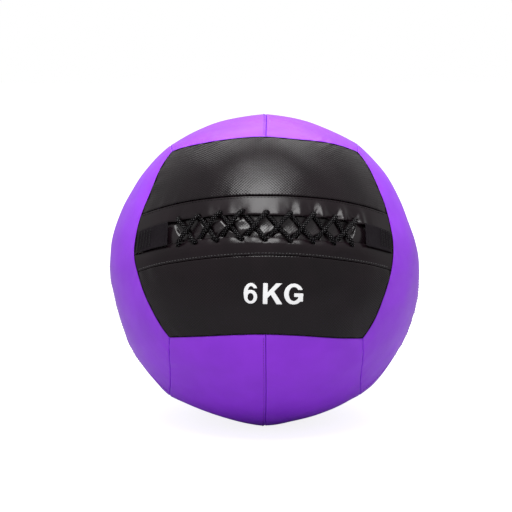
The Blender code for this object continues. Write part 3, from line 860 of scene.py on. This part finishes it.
# Across, rise and height of the points that a cord follows. It crosses the slit, turns down round the
# far lip into a hole and comes out again under that lip. Only its first strand starts above the lip.
def cordRoute(firstSide):
    route = []
    for index in range(lastHole + 1):
        side = firstSide * (-1) ** index
        (place, row), lift = hole(side, index), lacing["lifts"][side]
        turns = [(degrees, -1 if degrees > 0 else 1) for degrees in lacing["turnAngles"]]
        if index == 0:
            route += cordTail(place, row, -1)
            turns = [(degrees, 1) for degrees in lacing["turnAngles"][::-1] if degrees > 0]
        elif index == lastHole:
            turns = [(degrees, -1) for degrees in lacing["turnAngles"] if degrees > 0]
        for degrees, way in turns:
            angle = math.radians(degrees)
            neighbour, farRow = hole(-side, index + way)
            setback = turnRadius * (1 - math.cos(angle))
            height = lacing["underLip"] + turnRadius * (1 + math.sin(angle)) + lift
            across = place + (neighbour - place) * (setback / abs(farRow - row))
            route.append((across, row - side * setback, height))
        if index == lastHole:
            route += cordTail(place, row, 1)[::-1]
            continue
        following, farRow = hole(-side, index + 1)
        crossing, end = lacing["crossings"][side], cordOver + lacing["lifts"][-side]
        start = (lacing["underLip"] if index else cordOver) + lift
        heights = start, (start + crossing) / 2, crossing, crossing, end
        for share, height in zip(lacing["crossingShares"], heights):
            route.append((place + (following - place) * share, row + (farRow - row) * share, height))
    return np.array(route)


# the route with its corners rounded, evenly spaced
def smoothRoute(route):
    smoothing, spacing = lacing["smoothing"], lacing["ringSpacing"]
    fine = respaced(route, spacing)
    reach = round(3 * smoothing / spacing)
    weights = np.exp(-0.5 * (np.arange(-reach, reach + 1) * spacing / smoothing) ** 2)
    weights /= weights.sum()
    padded = np.pad(fine, ((reach, reach), (0, 0)), "edge")
    return respaced(np.stack([np.convolve(column, weights, "valid") for column in padded.T], -1), spacing)


# The strands wind each way, and each passes over and under the others in turn.
def braidRadius(angle, run, base):
    count, lead = lacing["strands"], lacing["strands"] * lacing["strandSpacing"]
    one, other = count * (angle / math.tau + run / lead), count * (angle / math.tau - run / lead)
    oneWave, otherWave = np.abs(np.sin(math.pi * one)), np.abs(np.sin(math.pi * other))
    oneOnTop = (np.floor(one) + np.floor(other)) % 2 == 0
    top, under = np.where(oneOnTop, (oneWave, otherWave), (otherWave, oneWave))
    full = lacing["strandBase"] + (1 - lacing["strandBase"]) * under
    return base + lacing["strandHeight"] * (np.sqrt(top) * full - 1)


# dark, with a painted highlight: a paler fleck where each strand of the braid comes to the top
def makeCordMaterial():
    material = newMaterial("blackCord", *(lacing[key] for key in ("colour", "roughness", "specular")))
    around, along = clothPlace(material)
    girth = math.pi * (lacing["cordDiameter"] - lacing["strandHeight"]) / lacing["strands"]
    waves = addWaves(material, (along, around), (lacing["strandSpacing"], girth))
    glintMask = addMath(material, "ABSOLUTE", addMath(material, "SUBTRACT", *waves))
    fuzz = addFuzz(material)
    glintMask = addMath(material, "MULTIPLY_ADD", fuzz, lacing["fuzzShare"], glintMask)
    # the glints on the braid's strands are painted into the colour, as pale flecks
    paint(material, glintMask, *lacing["paintedGlintRange"], lacing["colour"], lacing["paintedGlintColour"])
    addBumps(material, (fuzz, *clothDetail["fuzzBump"]))
    return material


def makeLaceCord(name, node, firstSide, material):
    route = smoothRoute(cordRoute(firstSide))
    points = onBall(faceDirection(route[:, 0], route[:, 1]), route[:, 2])
    length = alongLine(points)[-1]
    knotShare = lacing["knotDiameter"] / lacing["cordDiameter"] - 1
    tail = lacing["tailLength"] / 4

    def radiusAt(angle, run):
        fromEnd = np.minimum(run, length - run)
        bulge = np.sqrt(np.clip(1 - ((fromEnd - tail) / tail) ** 2, 0, 1)) * (fromEnd < 2 * tail)
        return braidRadius(angle, run, (cordRadius + lacing["strandRise"]) * (1 + knotShare * bulge))

    surface, faces, uvs = tubeAlong(points, lacing["sides"], radiusAt)
    dressed(makePiece(name, surface, faces, material, uvs), "lace_cord", node)
    print("%s is %.0f mm long" % (name, 1000 * length))
    return route[::3]  # close enough for what the cord presses on


def makeCords():
    material = makeCordMaterial()
    return np.concatenate([makeLaceCord("laceCordOne", "lace_cord_one", 1, material),
                           makeLaceCord("laceCordTwo", "lace_cord_two", -1, material)])


cordPoints = makeCords()


# the highest that points of a cord reach at places on the face, where each is as round as the cord
def cordReach(places, points):
    reach = np.full(len(places), -1.0)
    batch = 2000  # places at a time, to save memory
    for start in range(0, len(places), batch):
        part = slice(start, start + batch)
        gap = ((places[part, None] - points[None, :, :2]) ** 2).sum(-1)
        reach[part] = (points[:, 2] + cordOver - gap / (2 * cordOver)).max(1)
    return reach


def softMin(first, second, softness):
    return -softness * np.logaddexp(-first / softness, -second / softness)


# Where cords pass over a sheet they press it down in a groove, and where they pass under it they lift it.
# Heights are of the sheet's outer side; backing is what lies between that and a cord under it.
def giveWay(direction, height, backing, softness, betweenLips=False):
    places = np.stack(facePlace(direction), -1).reshape(-1, 2)
    over = cordPoints
    if not betweenLips:
        over = cordPoints[cordPoints[:, 2] > lacing["pressesFrom"]]
        under = cordPoints[cordPoints[:, 2] < lacing["liftsUpTo"]]
        lowest = (cordReach(places, under) + backing).reshape(height.shape)
        height = -softMin(-height, -lowest, softness)
    highest = -cordReach(places, over * (1, 1, -1)).reshape(height.shape)
    return softMin(height, highest, softness)


surfaces = {}


def makePanels():
    for k, (face, (high, low, look)) in enumerate(panels.items()):
        for seed, side, half in ((2 * k, 1, high), (2 * k + 1, -1, low)):
            node = face + "_" + half + "_panel"
            patch = stripPatch(face, side, seamRow if face == "front" else 0)
            surfaces[node] = patch, partial(coverHeight, seed=seed), None
            piece = makeCoverPiece(pieceName(node), surfaces[node], vinyl[look])
            dressed(piece, look + "_vinyl", node)
            declareSheet(patch)


makePanels()
print("panels are made")


# lace bands: gathered at the lip by the cords

bands = {
    # how strongly each band is gathered, from before its first hole to past its last
    "strengths": {
        1: (0, 0.2, 0.25, 0.22, 0.10, 0.03, 0.24, 1.0, 1.3, 1.5, 0),
        -1: (0, 0.4, 0.5, 0.5, 0.5, 0.5, 0.5, 0.4, 0.4, 0.3, 0),
    },
    "crests": {1: 0.40, -1: 0.50},  # where the folds stand out, as a share of the way to the next hole
    "folds": {1: 0.0020, -1: 0.0010},
    "sharpness": 0.3,
    "foldReach": 0.0130,
    "seamFade": 0.012,
    "endFade": 0.06,
    "rise": 0.0017,  # how far the upper band climbs from its seam to its lip
    "risePower": 1.3,
    # how far the lower band stands out at distances from its lip
    "standPlaces": (0, 0.0045, 0.0078, 0.012, 0.021),
    "standHeights": (-0.0003, 0.0013, 0.0019, 0.0016, 0),
    "standRounding": 0.0008,
    # where the lips lie between the holes, measured from the slit's middle
    "lipPlaces": (-0.110, -0.095, -0.062, -0.036, -0.012, 0.014, 0.040, 0.064, 0.090, 0.110),
    "lips": {
        1: (0.0126, 0.0126, 0.0119, 0.0115, 0.0108, 0.0100, 0.0100, 0.0099, 0.0099, 0.0096),
        -1: (0.0121, 0.0119, 0.0115, 0.0122, 0.0132, 0.0142, 0.0150, 0.0142, 0.0130, 0.0112),
    },
    "drawnReach": 0.45,
    "drawnMargin": 0.055,  # how near the face's side the lips aren't drawn in any more
    "pullReach": 0.009,
    "drops": {1: 0.0005, -1: 0.0003},
    "leastDrop": 0.35,
    "dropReach": 0.0022,
    "holeSetback": 0.0030,
    "holeDip": 0.0005,
    "holeDipReach": 0.0036,
    "softness": 0.0003,
    # small folds that point to each hole
    "starDepth": 0.00016,
    "starFolds": 7,
    "starPlace": 0.006,
    "starReach": 0.005,
    "starTurn": 5,  # from one hole to the next, so that no two are alike
    "lipRim": 0.4,  # how much of the turned-in depth the lip has
    "seed": 20,
    "lines": ((sewing["lines"][0], 0.0011), ((0.00035, 0.0009, 0.00165, 0.0026, 0.0037), 0.0009)),
}


# how many holes lie left of a place, with shares between them
def holePhase(across, side):
    row = np.array(lacing["holes"][side])
    return np.interp(across, [2 * row[0] - row[1], *row, 2 * row[-1] - row[-2]], holeSteps)


# the number of the nearest hole, and where that lies
def nearestHole(across, side):
    nearest = np.clip(np.round(holePhase(across, side)), 0, lastHole).astype(int)
    return nearest, np.array(lacing["holes"][side])[nearest], side * np.array(lacing["rows"][side])[nearest]


# how far a band's lip lies from the middle of the slit: drawn in at the holes, and as cut between them
def lipPlace(across, side):
    nearest = np.round(holePhase(across, side))
    near = np.abs(holePhase(across, side) - nearest) * 2
    rows = lacing["rows"][side]
    drawn = np.interp(nearest, holeSteps, [rows[0], *rows, rows[-1]])
    drawn = drawn - lacing["holeDiameter"] / 2 - lacing["holeStrip"]
    between = np.interp(across, bands["lipPlaces"], bands["lips"][side])
    held = np.exp(-(near / bands["drawnReach"]) ** 2) * (np.abs(across) < seamReach - bands["drawnMargin"])
    return np.minimum(between, between + (drawn - between) * held)


def bandShift(direction, borders, side):
    across, rise = facePlace(direction)
    pull = lacing["slitWidth"] / 2 - lipPlace(across, side)
    return faceDirection(across, rise - side * pull * np.exp(-(borders[2] / bands["pullReach"]) ** 2))


def bandHeight(direction, borders, side, seed):
    toLeft, toRight, lip, seam = borders
    across, _ = facePlace(direction)
    far = 0 * lip + 1
    height = coverHeight(direction, (toLeft, toRight, far, far), seed)

    # how it stands out between its lip and its seam
    fade = smoothStep(np.minimum(toLeft, toRight), 0, bands["endFade"])
    if side > 0:
        height = height + bands["rise"] * fade * (seam / (seam + lip)) ** bands["risePower"]
    else:
        height = height + fade * smoothCurve(lip, bands["standPlaces"], bands["standHeights"],
                                             bands["standRounding"])

    # folds, and the lip drawn down
    phase = holePhase(across, side)
    strength = np.interp(phase, holeSteps, bands["strengths"][side])
    angle = math.tau * (phase - bands["crests"][side])
    wave = strength * (np.cos(angle) + bands["sharpness"] * np.cos(2 * angle))
    fold = bands["folds"][side] * np.exp(-lip / bands["foldReach"]) * smoothStep(seam, 0, bands["seamFade"])
    strength = np.minimum(strength, 1)
    drop = bands["drops"][side] * (bands["leastDrop"] + (1 - bands["leastDrop"]) * strength)
    height = height + wave * fold - drop * np.exp(-(lip / bands["dropReach"]) ** 2)

    # a dip round each hole
    nearest, place, _ = nearestHole(across, side)
    sideways, outward = across - place, lip - bands["holeSetback"]
    gap = np.hypot(sideways, outward)
    star = np.cos(bands["starFolds"] * np.arctan2(outward, sideways) + bands["starTurn"] * nearest)
    star = star * np.exp(-((gap - bands["starPlace"]) / bands["starReach"]) ** 2) * strength
    height = height + bands["starDepth"] * star
    height = height - bands["holeDip"] * np.exp(-(gap / bands["holeDipReach"]) ** 2)
    return giveWay(bandShift(direction, borders, side), height, sewing["thickness"], bands["softness"])


# negative outside the punched holes
def holeShape(direction, side):
    across, rise = facePlace(direction)
    _, place, row = nearestHole(across, side)
    return lacing["holeDiameter"] / 2 - np.hypot(across - place, rise - row)


def makeBands():
    for side, name in bandNames.items():
        node = name + "_lace_band"
        patch = stripPatch("front", side, lacing["slitWidth"] / 2, seamRow)
        heightAt = partial(bandHeight, side=side, seed=bands["seed"] + side)
        surfaces[node] = patch, heightAt, partial(bandShift, side=side)
        piece = makeCoverPiece(pieceName(node), surfaces[node], vinyl["gloss"], lines=bands["lines"],
                               lowRim=bands["lipRim"], holesAt=partial(holeShape, side=side))
        dressed(piece, "glossy_black_vinyl", node)
        declareSheet(patch)


# how far right of its middle the laced face still is as wide as the tabs need
def sideSeamReach(tabReach):
    sideEdge, shareAt = edgeArc(up, right, front)
    return min(facePlace(sideEdge(np.array(share)))[0] for share in (0.0, shareAt(tabReach / ballRadius)))


seamReach = sideSeamReach(lacing["tabRise"])
makeBands()
print("lace bands are made")


# the tongue behind the lacing puffs out between the cords

tongue = {
    "reach": ballRadius * (math.pi / 2 - ball["narrowHalfAngle"]) - 0.012,
    "rise": 0.025,
    # its height across the slit, from the lower lip to the upper one
    "risePlaces": (-0.0145, -0.0120, -0.007, -0.001, 0.005, 0.0112),
    "riseHeights": (-0.0024, -0.0020, -0.0033, -0.0044, -0.0042, -0.0027),
    "rounding": 0.002,
    "hiddenDepth": 0.0116,
    "hiddenFrom": (0.0010, 0.005),  # distances behind the lips over which it sinks to that depth
    "softness": 0.0005,
    "lumps": ((0.015, 0.00012, 41), (0.007, 0.000048, 42)),  # wavelength, height, seed
    # left and right: where it climbs to the tabs, and how that line leans
    "climbs": {-1: ((0.0962, 0.1012), 0.6), 1: ((0.0980, 0.1022), 0.25)},
    "endLevel": -0.0019,
    "endBulge": 0.0014,
    # how far and wide it stands out left of the middle
    "swellPlace": -0.045,
    "swellReach": 0.030,
    "swell": 0.0034,
    "swellFade": (0.004, 0.0005),  # from this rise to this much short of the lip
    "lines": ((0.0, 0.001), 0.0013),
}


def tongueHeight(direction, _):
    across, rise = facePlace(direction)
    lip = np.where(rise > 0, lipPlace(across, 1), lipPlace(across, -1))
    height = smoothCurve(rise, tongue["risePlaces"], tongue["riseHeights"], tongue["rounding"])
    swell = np.exp(-((across - tongue["swellPlace"]) / tongue["swellReach"]) ** 2)
    fadeFrom, fadeShort = tongue["swellFade"]
    height = height + tongue["swell"] * swell * (1 - smoothStep(np.abs(rise), fadeFrom, lip - fadeShort))
    climb = sum(smoothStep(way * across - lean * rise, *places)
                for way, (places, lean) in tongue["climbs"].items())
    bulge = tongue["endBulge"] * (1 - np.minimum(rise / lip, 1) ** 2)
    height = height + climb * (tongue["endLevel"] + bulge - height)
    height = height + lumps(direction * ballRadius, tongue["lumps"])
    height = giveWay(direction, height, 0, tongue["softness"], betweenLips=True)
    hidden = smoothStep(np.abs(rise), *(lip + distance for distance in tongue["hiddenFrom"]))
    return height + (-tongue["hiddenDepth"] - height) * hidden


def makeTongue():
    patch = boxPatch(-tongue["reach"], tongue["reach"], -tongue["rise"], tongue["rise"])
    layer = layerOn((patch, tongueHeight, None), *gridOn(patch, tongue["lines"]))
    piece = makeShell("laceTongue", patch, *layer, sewing["thickness"], vinyl["tongue"])
    dressed(piece, "glossy_black_vinyl", "lace_tongue")
    declareSheet(patch)


makeTongue()
print("tongue is made")


# woven tape behind each band's holes

backing = {
    "lipMargin": 0.0017,
    "width": 0.014,
    "rows": 8,
    "ends": (0.008, 0.992),
    "spacing": 0.002,
    "gap": 0.0003,
    "thickness": 0.0010,
}


def makeBacking():
    count = round(2 * seamReach / backing["spacing"])
    u, lip = np.meshgrid(np.linspace(*backing["ends"], count),
                         backing["lipMargin"] + np.linspace(0, backing["width"], backing["rows"]))
    for side, name in bandNames.items():
        surface = surfaces[name + "_lace_band"]
        patch = surface[0]
        points, directions = layerOn(surface, u, lip / patch["height"](u),
                                     lambda borders: sewing["thickness"] + backing["gap"])
        points, directions, faces = punched(points, directions, holeShape(directions, side))
        piece = makeShell(name + "BandWebbing", patch, points, directions, backing["thickness"],
                          cloth["blackWebbing"], faces)
        dressed(piece, "webbing", name + "_band_webbing")


makeBacking()
print("tape is made")


# webbing tabs sewn over the ends of the slit

tabs = {
    # name, length, and the places of its lower and upper edge
    "ends": {-1: ("left", 0.053, (-0.0132, 0.0125)), 1: ("right", 0.0493, (-0.0140, 0.0112))},
    "seed": 30,
    "lift": 0.0012,
    "thickness": 0.0013,
    "sag": 0.0006,
    "foldEdges": (0.0042, 0.0030),  # where the turned-under end's step starts and is full
    "foldHeight": 0.0011,
    "edgeRound": 0.0007,
    "clearance": 0.0016,
    "outerDrop": 0.0022,  # how far the outer end is pulled down into the seam
    "outerReach": 0.007,
    "lines": ((0.0001, 0.0004, 0.0009), 0.0013),
    "stitchColumns": (0.026, 0.0305, 0.035, 0.0395, 0.044),  # from the tab's inner end
    "stitchReach": 0.0095,
    "stitchStep": 0.0013,
    "stitchSwing": 0.0014,
    "threadRadius": 0.0004,
    "threadLift": 0.00016,
    "threadSides": 6,
}


# how high the covered bands lie at a place on the face, carried on over the slit
def tabBase(direction):
    across, rise = facePlace(direction)
    far = 0 * across + 1
    toSide, toSeam = np.maximum(seamReach - np.abs(across), 0), np.maximum(seamRow - np.abs(rise), 0)
    height = coverHeight(direction, (toSide, far, far, toSeam), tabs["seed"])
    sag = tabs["sag"] * np.clip(1 - (rise * 2 / lacing["slitWidth"]) ** 2, 0, 1)
    return height + tabs["lift"] + tabs["thickness"] - sag


def tabHeight(direction, borders, inner, outer):
    height = tabBase(direction)
    height = height - tabs["outerDrop"] * (1 - smoothStep(borders[outer], 0, tabs["outerReach"]))
    height = height + tabs["foldHeight"] * smoothStep(borders[inner], *tabs["foldEdges"])
    radius = tabs["edgeRound"]
    reach = np.clip(radius - np.minimum.reduce(borders), 0, radius)
    return height + np.sqrt(radius * radius - reach * reach) - radius


# a zigzag of thread up the tab
def tabStitch(across, way):
    reach, step = tabs["stitchReach"], tabs["stitchStep"]
    turns = round(2 * reach / step)
    turn = np.arange(turns + 1)
    sideways = across + way * tabs["stitchSwing"] * (turn % 2 - 0.5)
    route = respaced(np.stack([sideways, (2 * turn / turns - 1) * reach], -1), step / 3)
    direction = faceDirection(route[:, 0], route[:, 1])
    line = onBall(direction, tabBase(direction) + tabs["threadLift"])
    return tubeAlong(line, tabs["threadSides"], lambda angle, run: tabs["threadRadius"] + 0 * run)


def makeTabs():
    for way, (name, length, reach) in tabs["ends"].items():
        inner, outer = way * (seamReach - length), way * (seamReach - tabs["clearance"])
        patch = boxPatch(*sorted((inner, outer)), *reach)
        innerBorder, outerBorder = (1, 0) if way < 0 else (0, 1)
        surface = patch, partial(tabHeight, inner=innerBorder, outer=outerBorder), None
        layer = layerOn(surface, *gridOn(patch, tabs["lines"]))
        piece = makeShell(name + "EndTab", patch, *layer, tabs["thickness"], cloth["blackWebbing"])
        dressed(piece, "webbing", name + "_end_tab")
        tubes = [tabStitch(inner + way * column, way) for column in tabs["stitchColumns"]]
        stitching = makePiece(name + "TabStitching", *joined(tubes), cloth["blackThread"],
                              np.concatenate([tube[2] for tube in tubes]))
        dressed(stitching, "thread", name + "_tab_stitching")


makeTabs()
print("tabs are made")


# rows of stitches, each a short length of thread that dives into the vinyl at both ends

stitches = {
    # name, the cover piece it's sewn in, the thread, and the node that it stands for
    "bandRows": (
        ("upperBandStitches", "upper_lace_band", "blackThread", "upper_band_thread"),
        ("lowerBandStitches", "lower_lace_band", "greyThread", "lower_band_thread"),
    ),
    "coverRows": (
        ("topStitches", "top_left_panel", "purpleThread"),
        ("bottomStitches", "bottom_left_panel", "purpleThread"),
        ("leftStitches", "left_front_panel", "purpleThread"),
        ("rightStitches", "right_front_panel", "purpleThread"),
        ("backStitches", "back_upper_panel", "blackThread"),
    ),
    "bandSetback": 0.0025,
    "bandPitch": 0.0036,
    "coverSetback": 0.0024,
    "coverPitch": 0.0034,
    "fillShare": 0.78,  # how much of the pitch shows as thread
    "radius": 0.00036,
    "endShare": 0.02,  # how much of the thread's thickness is left at a stitch's ends, squared
    "dive": 0.0007,
    "samples": 7,
    "sides": 6,
    "endMargin": 0.004,
    "lineSteps": 1500,
}


def makeStitchRow(setback, fromHigh, pitch, name, coverNode, thread, *nodes):
    patch, heightAt, _ = surfaces[coverNode]
    u = np.linspace(0, 1, stitches["lineSteps"])
    v = setback / patch["height"](u)
    line, _ = layerOn((patch, heightAt, None), u, 1 - v if fromHigh else v)
    share = np.linspace(0, 1, stitches["samples"])
    bend = (2 * share - 1) ** 4
    radius = stitches["radius"] * np.sqrt(np.clip(1 - bend, stitches["endShare"], 1))
    lift = stitches["radius"] / 2 - stitches["dive"] * bend
    tubes = []
    for k in range(int((alongLine(line)[-1] - 2 * stitches["endMargin"]) / pitch)):
        spot = pointsAt(line, stitches["endMargin"] + (k + share * stitches["fillShare"]) * pitch)
        out = unit(spot - ballCentre)
        tubes.append(ringedTube(spot + out * lift[:, None], unit(np.cross(out, spot[-1] - spot[0])), out,
                                np.repeat(radius[:, None], stitches["sides"], 1)))
    points, faces = joined(tubes)
    points[:, 2] = np.maximum(points[:, 2], 0)  # thread under the ball is pressed flat on the floor
    dressed(makePiece(name, points, faces, cloth[thread], points[:, [0, 2]]), "thread", *nodes)


for row in stitches["bandRows"]:
    makeStitchRow(stitches["bandSetback"], True, stitches["bandPitch"], *row)
for row in stitches["coverRows"]:
    makeStitchRow(stitches["coverSetback"], False, stitches["coverPitch"], *row)
print("stitches are made")


# a black bead in the seam round each black face: painted shade, a dark piece that stands in for the shade of
# the seam's groove

shadeBead = {
    "radius": 0.0008,
    "inset": 0.0062,  # how far it lies towards the face's middle, as a share of the ball's radius
    "depth": 0.0004,
    "spacing": 0.0012,
    "sides": 8,
    "look": ((0.003, 0.0022, 0.003), 0.7, 0.1),  # colour, roughness and specular level
    "bump": (0.2, 0.0002),
    "sideSteps": 200,
}


def faceOutline(face):
    upper, lower = (stripPatch(face, side)["direction"] for side in (1, -1))
    along = np.linspace(0, 1, shadeBead["sideSteps"])
    none, full, returning = 0 * along, 0 * along + 1, along[::-1]
    outline = np.concatenate([upper(along, full), upper(full, returning), lower(full, along),
                              lower(returning, full), lower(none, returning), upper(none, along)])
    return unit(outline + shadeBead["inset"] * faceAxes[face][0])


def makeSeamShadeBeads():
    # the bead's black is painted shade for the seam's groove
    material = newMaterial("seamShadeBead", *shadeBead["look"])
    addBumps(material, (addFuzz(material), *shadeBead["bump"]))
    for face in ("front", "back"):
        direction = faceOutline(face)
        line = onBall(direction, cover["seamRise"] + coverRelief(direction) - shadeBead["depth"])
        line = pointsAt(line, np.arange(0, alongLine(line)[-1], shadeBead["spacing"]))
        line = (np.roll(line, 1, 0) + 2 * line + np.roll(line, -1, 0)) / 4
        surface, faces, uvs = tubeAlong(np.concatenate([line, line[:1]]), shadeBead["sides"],
                                        lambda angle, run: shadeBead["radius"] + 0 * run)
        dressed(makePiece(face + "SeamShadeBead", surface, faces, material, uvs), "black_vinyl")


makeSeamShadeBeads()
print("seam beads are made")


# the plain weight figure on the lower front panel: a thin printed film cut to the letters' outlines

figure = {
    "across": math.radians(2.6),  # its middle, right of and above the laced face's
    "level": math.radians(-23.62),
    "height": 0.0217,
    "boxes": ((1.2, 15.2), (21.0, 40.9), (42.3, 62.1)),  # where each letter starts and ends, in pixels
    "pixel": 0.001041,
    "cell": 0.0005,
    "gap": 0.00008,
    "thickness": 0.00012,
    "castFrom": 0.03,  # how far outside the ball the letters are laid down from
    "look": ((0.96, 0.96, 0.96), 0.45, 0.5),  # colour, roughness and specular level
    "shade": (0.88, 0.88, 0.89),
    "speckScale": 1200,
    "speckRange": (0.3, 0.75),
    "speckBump": (0.1, 0.0001),
}


# Each letter is a function of x and y in a box from 0 to 1, negative inside its strokes.
def ellipse(x, y, centreX, centreY, reachX, reachY):
    return (np.hypot((x - centreX) / reachX, (y - centreY) / reachY) - 1) * min(reachX, reachY)


def halfPlane(x, y, startX, startY, endX, endY):
    length = math.hypot(endX - startX, endY - startY)
    return ((x - startX) * (endY - startY) - (y - startY) * (endX - startX)) / length


def block(x, y, lowX, lowY, highX, highY):
    return inside(lowX - x, x - highX, lowY - y, y - highY)


def inside(*shapes):
    return np.maximum.reduce(shapes)


def either(*shapes):
    return np.minimum.reduce(shapes)


def letterSix(x, y):
    bowl = inside(ellipse(x, y, 0.515, 0.335, 0.485, 0.335), -ellipse(x, y, 0.515, 0.320, 0.225, 0.195))
    body = inside(ellipse(x, y, 0.53, 0.5, 0.53, 0.5), -ellipse(x, y, 0.545, 0.5, 0.265, 0.350))
    return either(bowl, inside(body, either(block(x, y, -1, 0.32, 0.35, 1), block(x, y, 0.2, 0.745, 2, 2))))


def letterK(x, y):
    upperArm = inside(-halfPlane(x, y, 0.235, 0.555, 0.66, 1), halfPlane(x, y, 0.235, 0.29, 0.96, 1),
                      block(x, y, 0.15, 0, 1, 1))
    lowerArm = inside(halfPlane(x, y, 0.385, 0.46, 0.70, 0), -halfPlane(x, y, 0.545, 0.625, 1.0, 0),
                      block(x, y, 0.2, 0, 1.02, 0.63))
    return either(block(x, y, 0, 0, 0.235, 1), upperArm, lowerArm)


def letterG(x, y):
    ring = inside(ellipse(x, y, 0.50, 0.5, 0.50, 0.5), -ellipse(x, y, 0.505, 0.5, 0.265, 0.335),
                  -block(x, y, 0.55, 0.50, 1.2, 0.70))
    return either(ring, block(x, y, 0.52, 0.365, 0.985, 0.535), block(x, y, 0.755, 0.14, 0.985, 0.50))


# the points of a letter's film, just outside what they're printed on
def ontoPanel(tree, direction):
    places = []
    for point in onBall(direction, np.full(len(direction), figure["castFrom"])):
        point = Vector(point)
        way = (Vector(ballCentre) - point).normalized()
        places.append(tree.ray_cast(point, way)[0] - way * (figure["gap"] + figure["thickness"]))
    return np.array(places)


def makeFigure():
    panel = bpy.data.objects["frontLowerPanel"].data
    tree = BVHTree.FromPolygons([vert.co for vert in panel.vertices],
                                [tuple(face.vertices) for face in panel.polygons])
    centre = faceDirection(np.array(figure["across"] * ballRadius),
                           np.array(math.sin(figure["level"]) * ballRadius))
    wide = unit(np.cross(up, centre))
    high = np.cross(centre, wide)
    middle, height, cell = figure["boxes"][-1][1] / 2, figure["height"], figure["cell"]
    letters = []
    for (start, end), letter in zip(figure["boxes"], (letterSix, letterK, letterG)):
        width = (end - start) * figure["pixel"]
        x, y = np.meshgrid(*(np.arange(-2 * cell, size + 3 * cell, cell) for size in (width, height)))
        cells, *cuts = clippedCells(letter(x / width, y / height))
        flat, cells = onlyUsed(withCuts(np.stack([x, y], -1), *cuts), cells)
        flat = flat + [(start - middle) * figure["pixel"], -height / 2]
        direction = unit(centre + (wide * flat[:, :1] + high * flat[:, 1:]) / ballRadius)
        letters.append((ontoPanel(tree, direction), cells))
    material = newMaterial("whitePrint", *figure["look"])
    speck = addNoise(material, objectPlace(material), figure["speckScale"], 3)
    paint(material, speck, *figure["speckRange"], figure["look"][0], figure["shade"])
    addBumps(material, (speck, *figure["speckBump"]))
    points, faces = joined(letters)
    dressed(makeShell("weightFigure", None, points, points, figure["thickness"], material, faces), "thread")


makeFigure()
print("weight figure is made")


# padding behind each panel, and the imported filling

padding = {
    "lines": ((0.0020, 0.0045, 0.009), 0.006),
    "gap": 0.0004,
    "thickness": 0.0112,
    "fill": 0.8,
}

fillings = {
    # colour, shade, cells to a metre, the bumps' depth and roughness
    "whiteFoam": ((0.78, 0.76, 0.70), (0.60, 0.57, 0.50), 900, 0.0004, 0.9),
    "naturalCanvas": ((0.56, 0.51, 0.40), (0.42, 0.37, 0.28), 1400, 0.0002, 0.9),
    "naturalCord": ((0.60, 0.55, 0.44), (0.40, 0.35, 0.26), 1100, 0.0003, 0.9),
    "ironSand": ((0.11, 0.10, 0.09), (0.03, 0.028, 0.026), 1800, 0.0005, 0.6),
    "shreddedTextile": ((0.42, 0.43, 0.46), (0.16, 0.17, 0.22), 260, 0.0012, 0.9),
}
fillingDetail = {
    "specular": 0.2,
    "share": 0.6,  # of cells and of clouds in the shading
    "shadeRange": (0.2, 0.9),
    "cellStrength": 0.7,
    "cloudStrength": 0.4,
    "cloudSize": 12,  # in cells
    "cloudDepth": 4,
}

innerNodes = {
    "inner_bag": "naturalCanvas",
    "core_bag": "naturalCanvas",
    "inner_bag_drawcord": "naturalCord",
    "sand_fill": "ironSand",
    "core_bag_tie": "naturalCord",
    "front_stuffing": "shreddedTextile",
    "back_stuffing": "shreddedTextile",
}


# a rough porous or grainy material, made of cells and noise
def makeGrainy(name, colour, shade, cells, depth, roughness):
    detail = fillingDetail
    material = newMaterial(name, colour, roughness, detail["specular"])
    place = objectPlace(material)
    cell, cloud = addCells(material, place, cells), addNoise(material, place, cells / detail["cloudSize"], 4)
    share = addMath(material, "MULTIPLY", cloud, detail["share"])
    share = addMath(material, "MULTIPLY_ADD", cell, detail["share"], share)
    paint(material, share, *detail["shadeRange"], shade, colour)
    addBumps(material, (cell, detail["cellStrength"], depth),
             (cloud, detail["cloudStrength"], detail["cloudDepth"] * depth))
    return material


def makeFilling():
    filling = {name: makeGrainy(name, *look) for name, look in fillings.items()}
    for panelNode, surface in surfaces.items():
        if not panelNode.endswith("panel"):
            continue
        node, patch = panelNode.replace("panel", "foam"), surface[0]
        layer = layerOn(surface, *gridOn(patch, padding["lines"]),
                        lambda borders: sewing["thickness"] + padding["gap"])
        piece = makeShell(pieceName(node), patch, *layer, padding["thickness"], filling["whiteFoam"])
        dressed(piece, "foam", node)

    for node, name in innerNodes.items():
        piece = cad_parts[node]
        for socket in piece.material_slots:
            socket.material = filling[name]


makeFilling()
print("padding and filling are dressed")
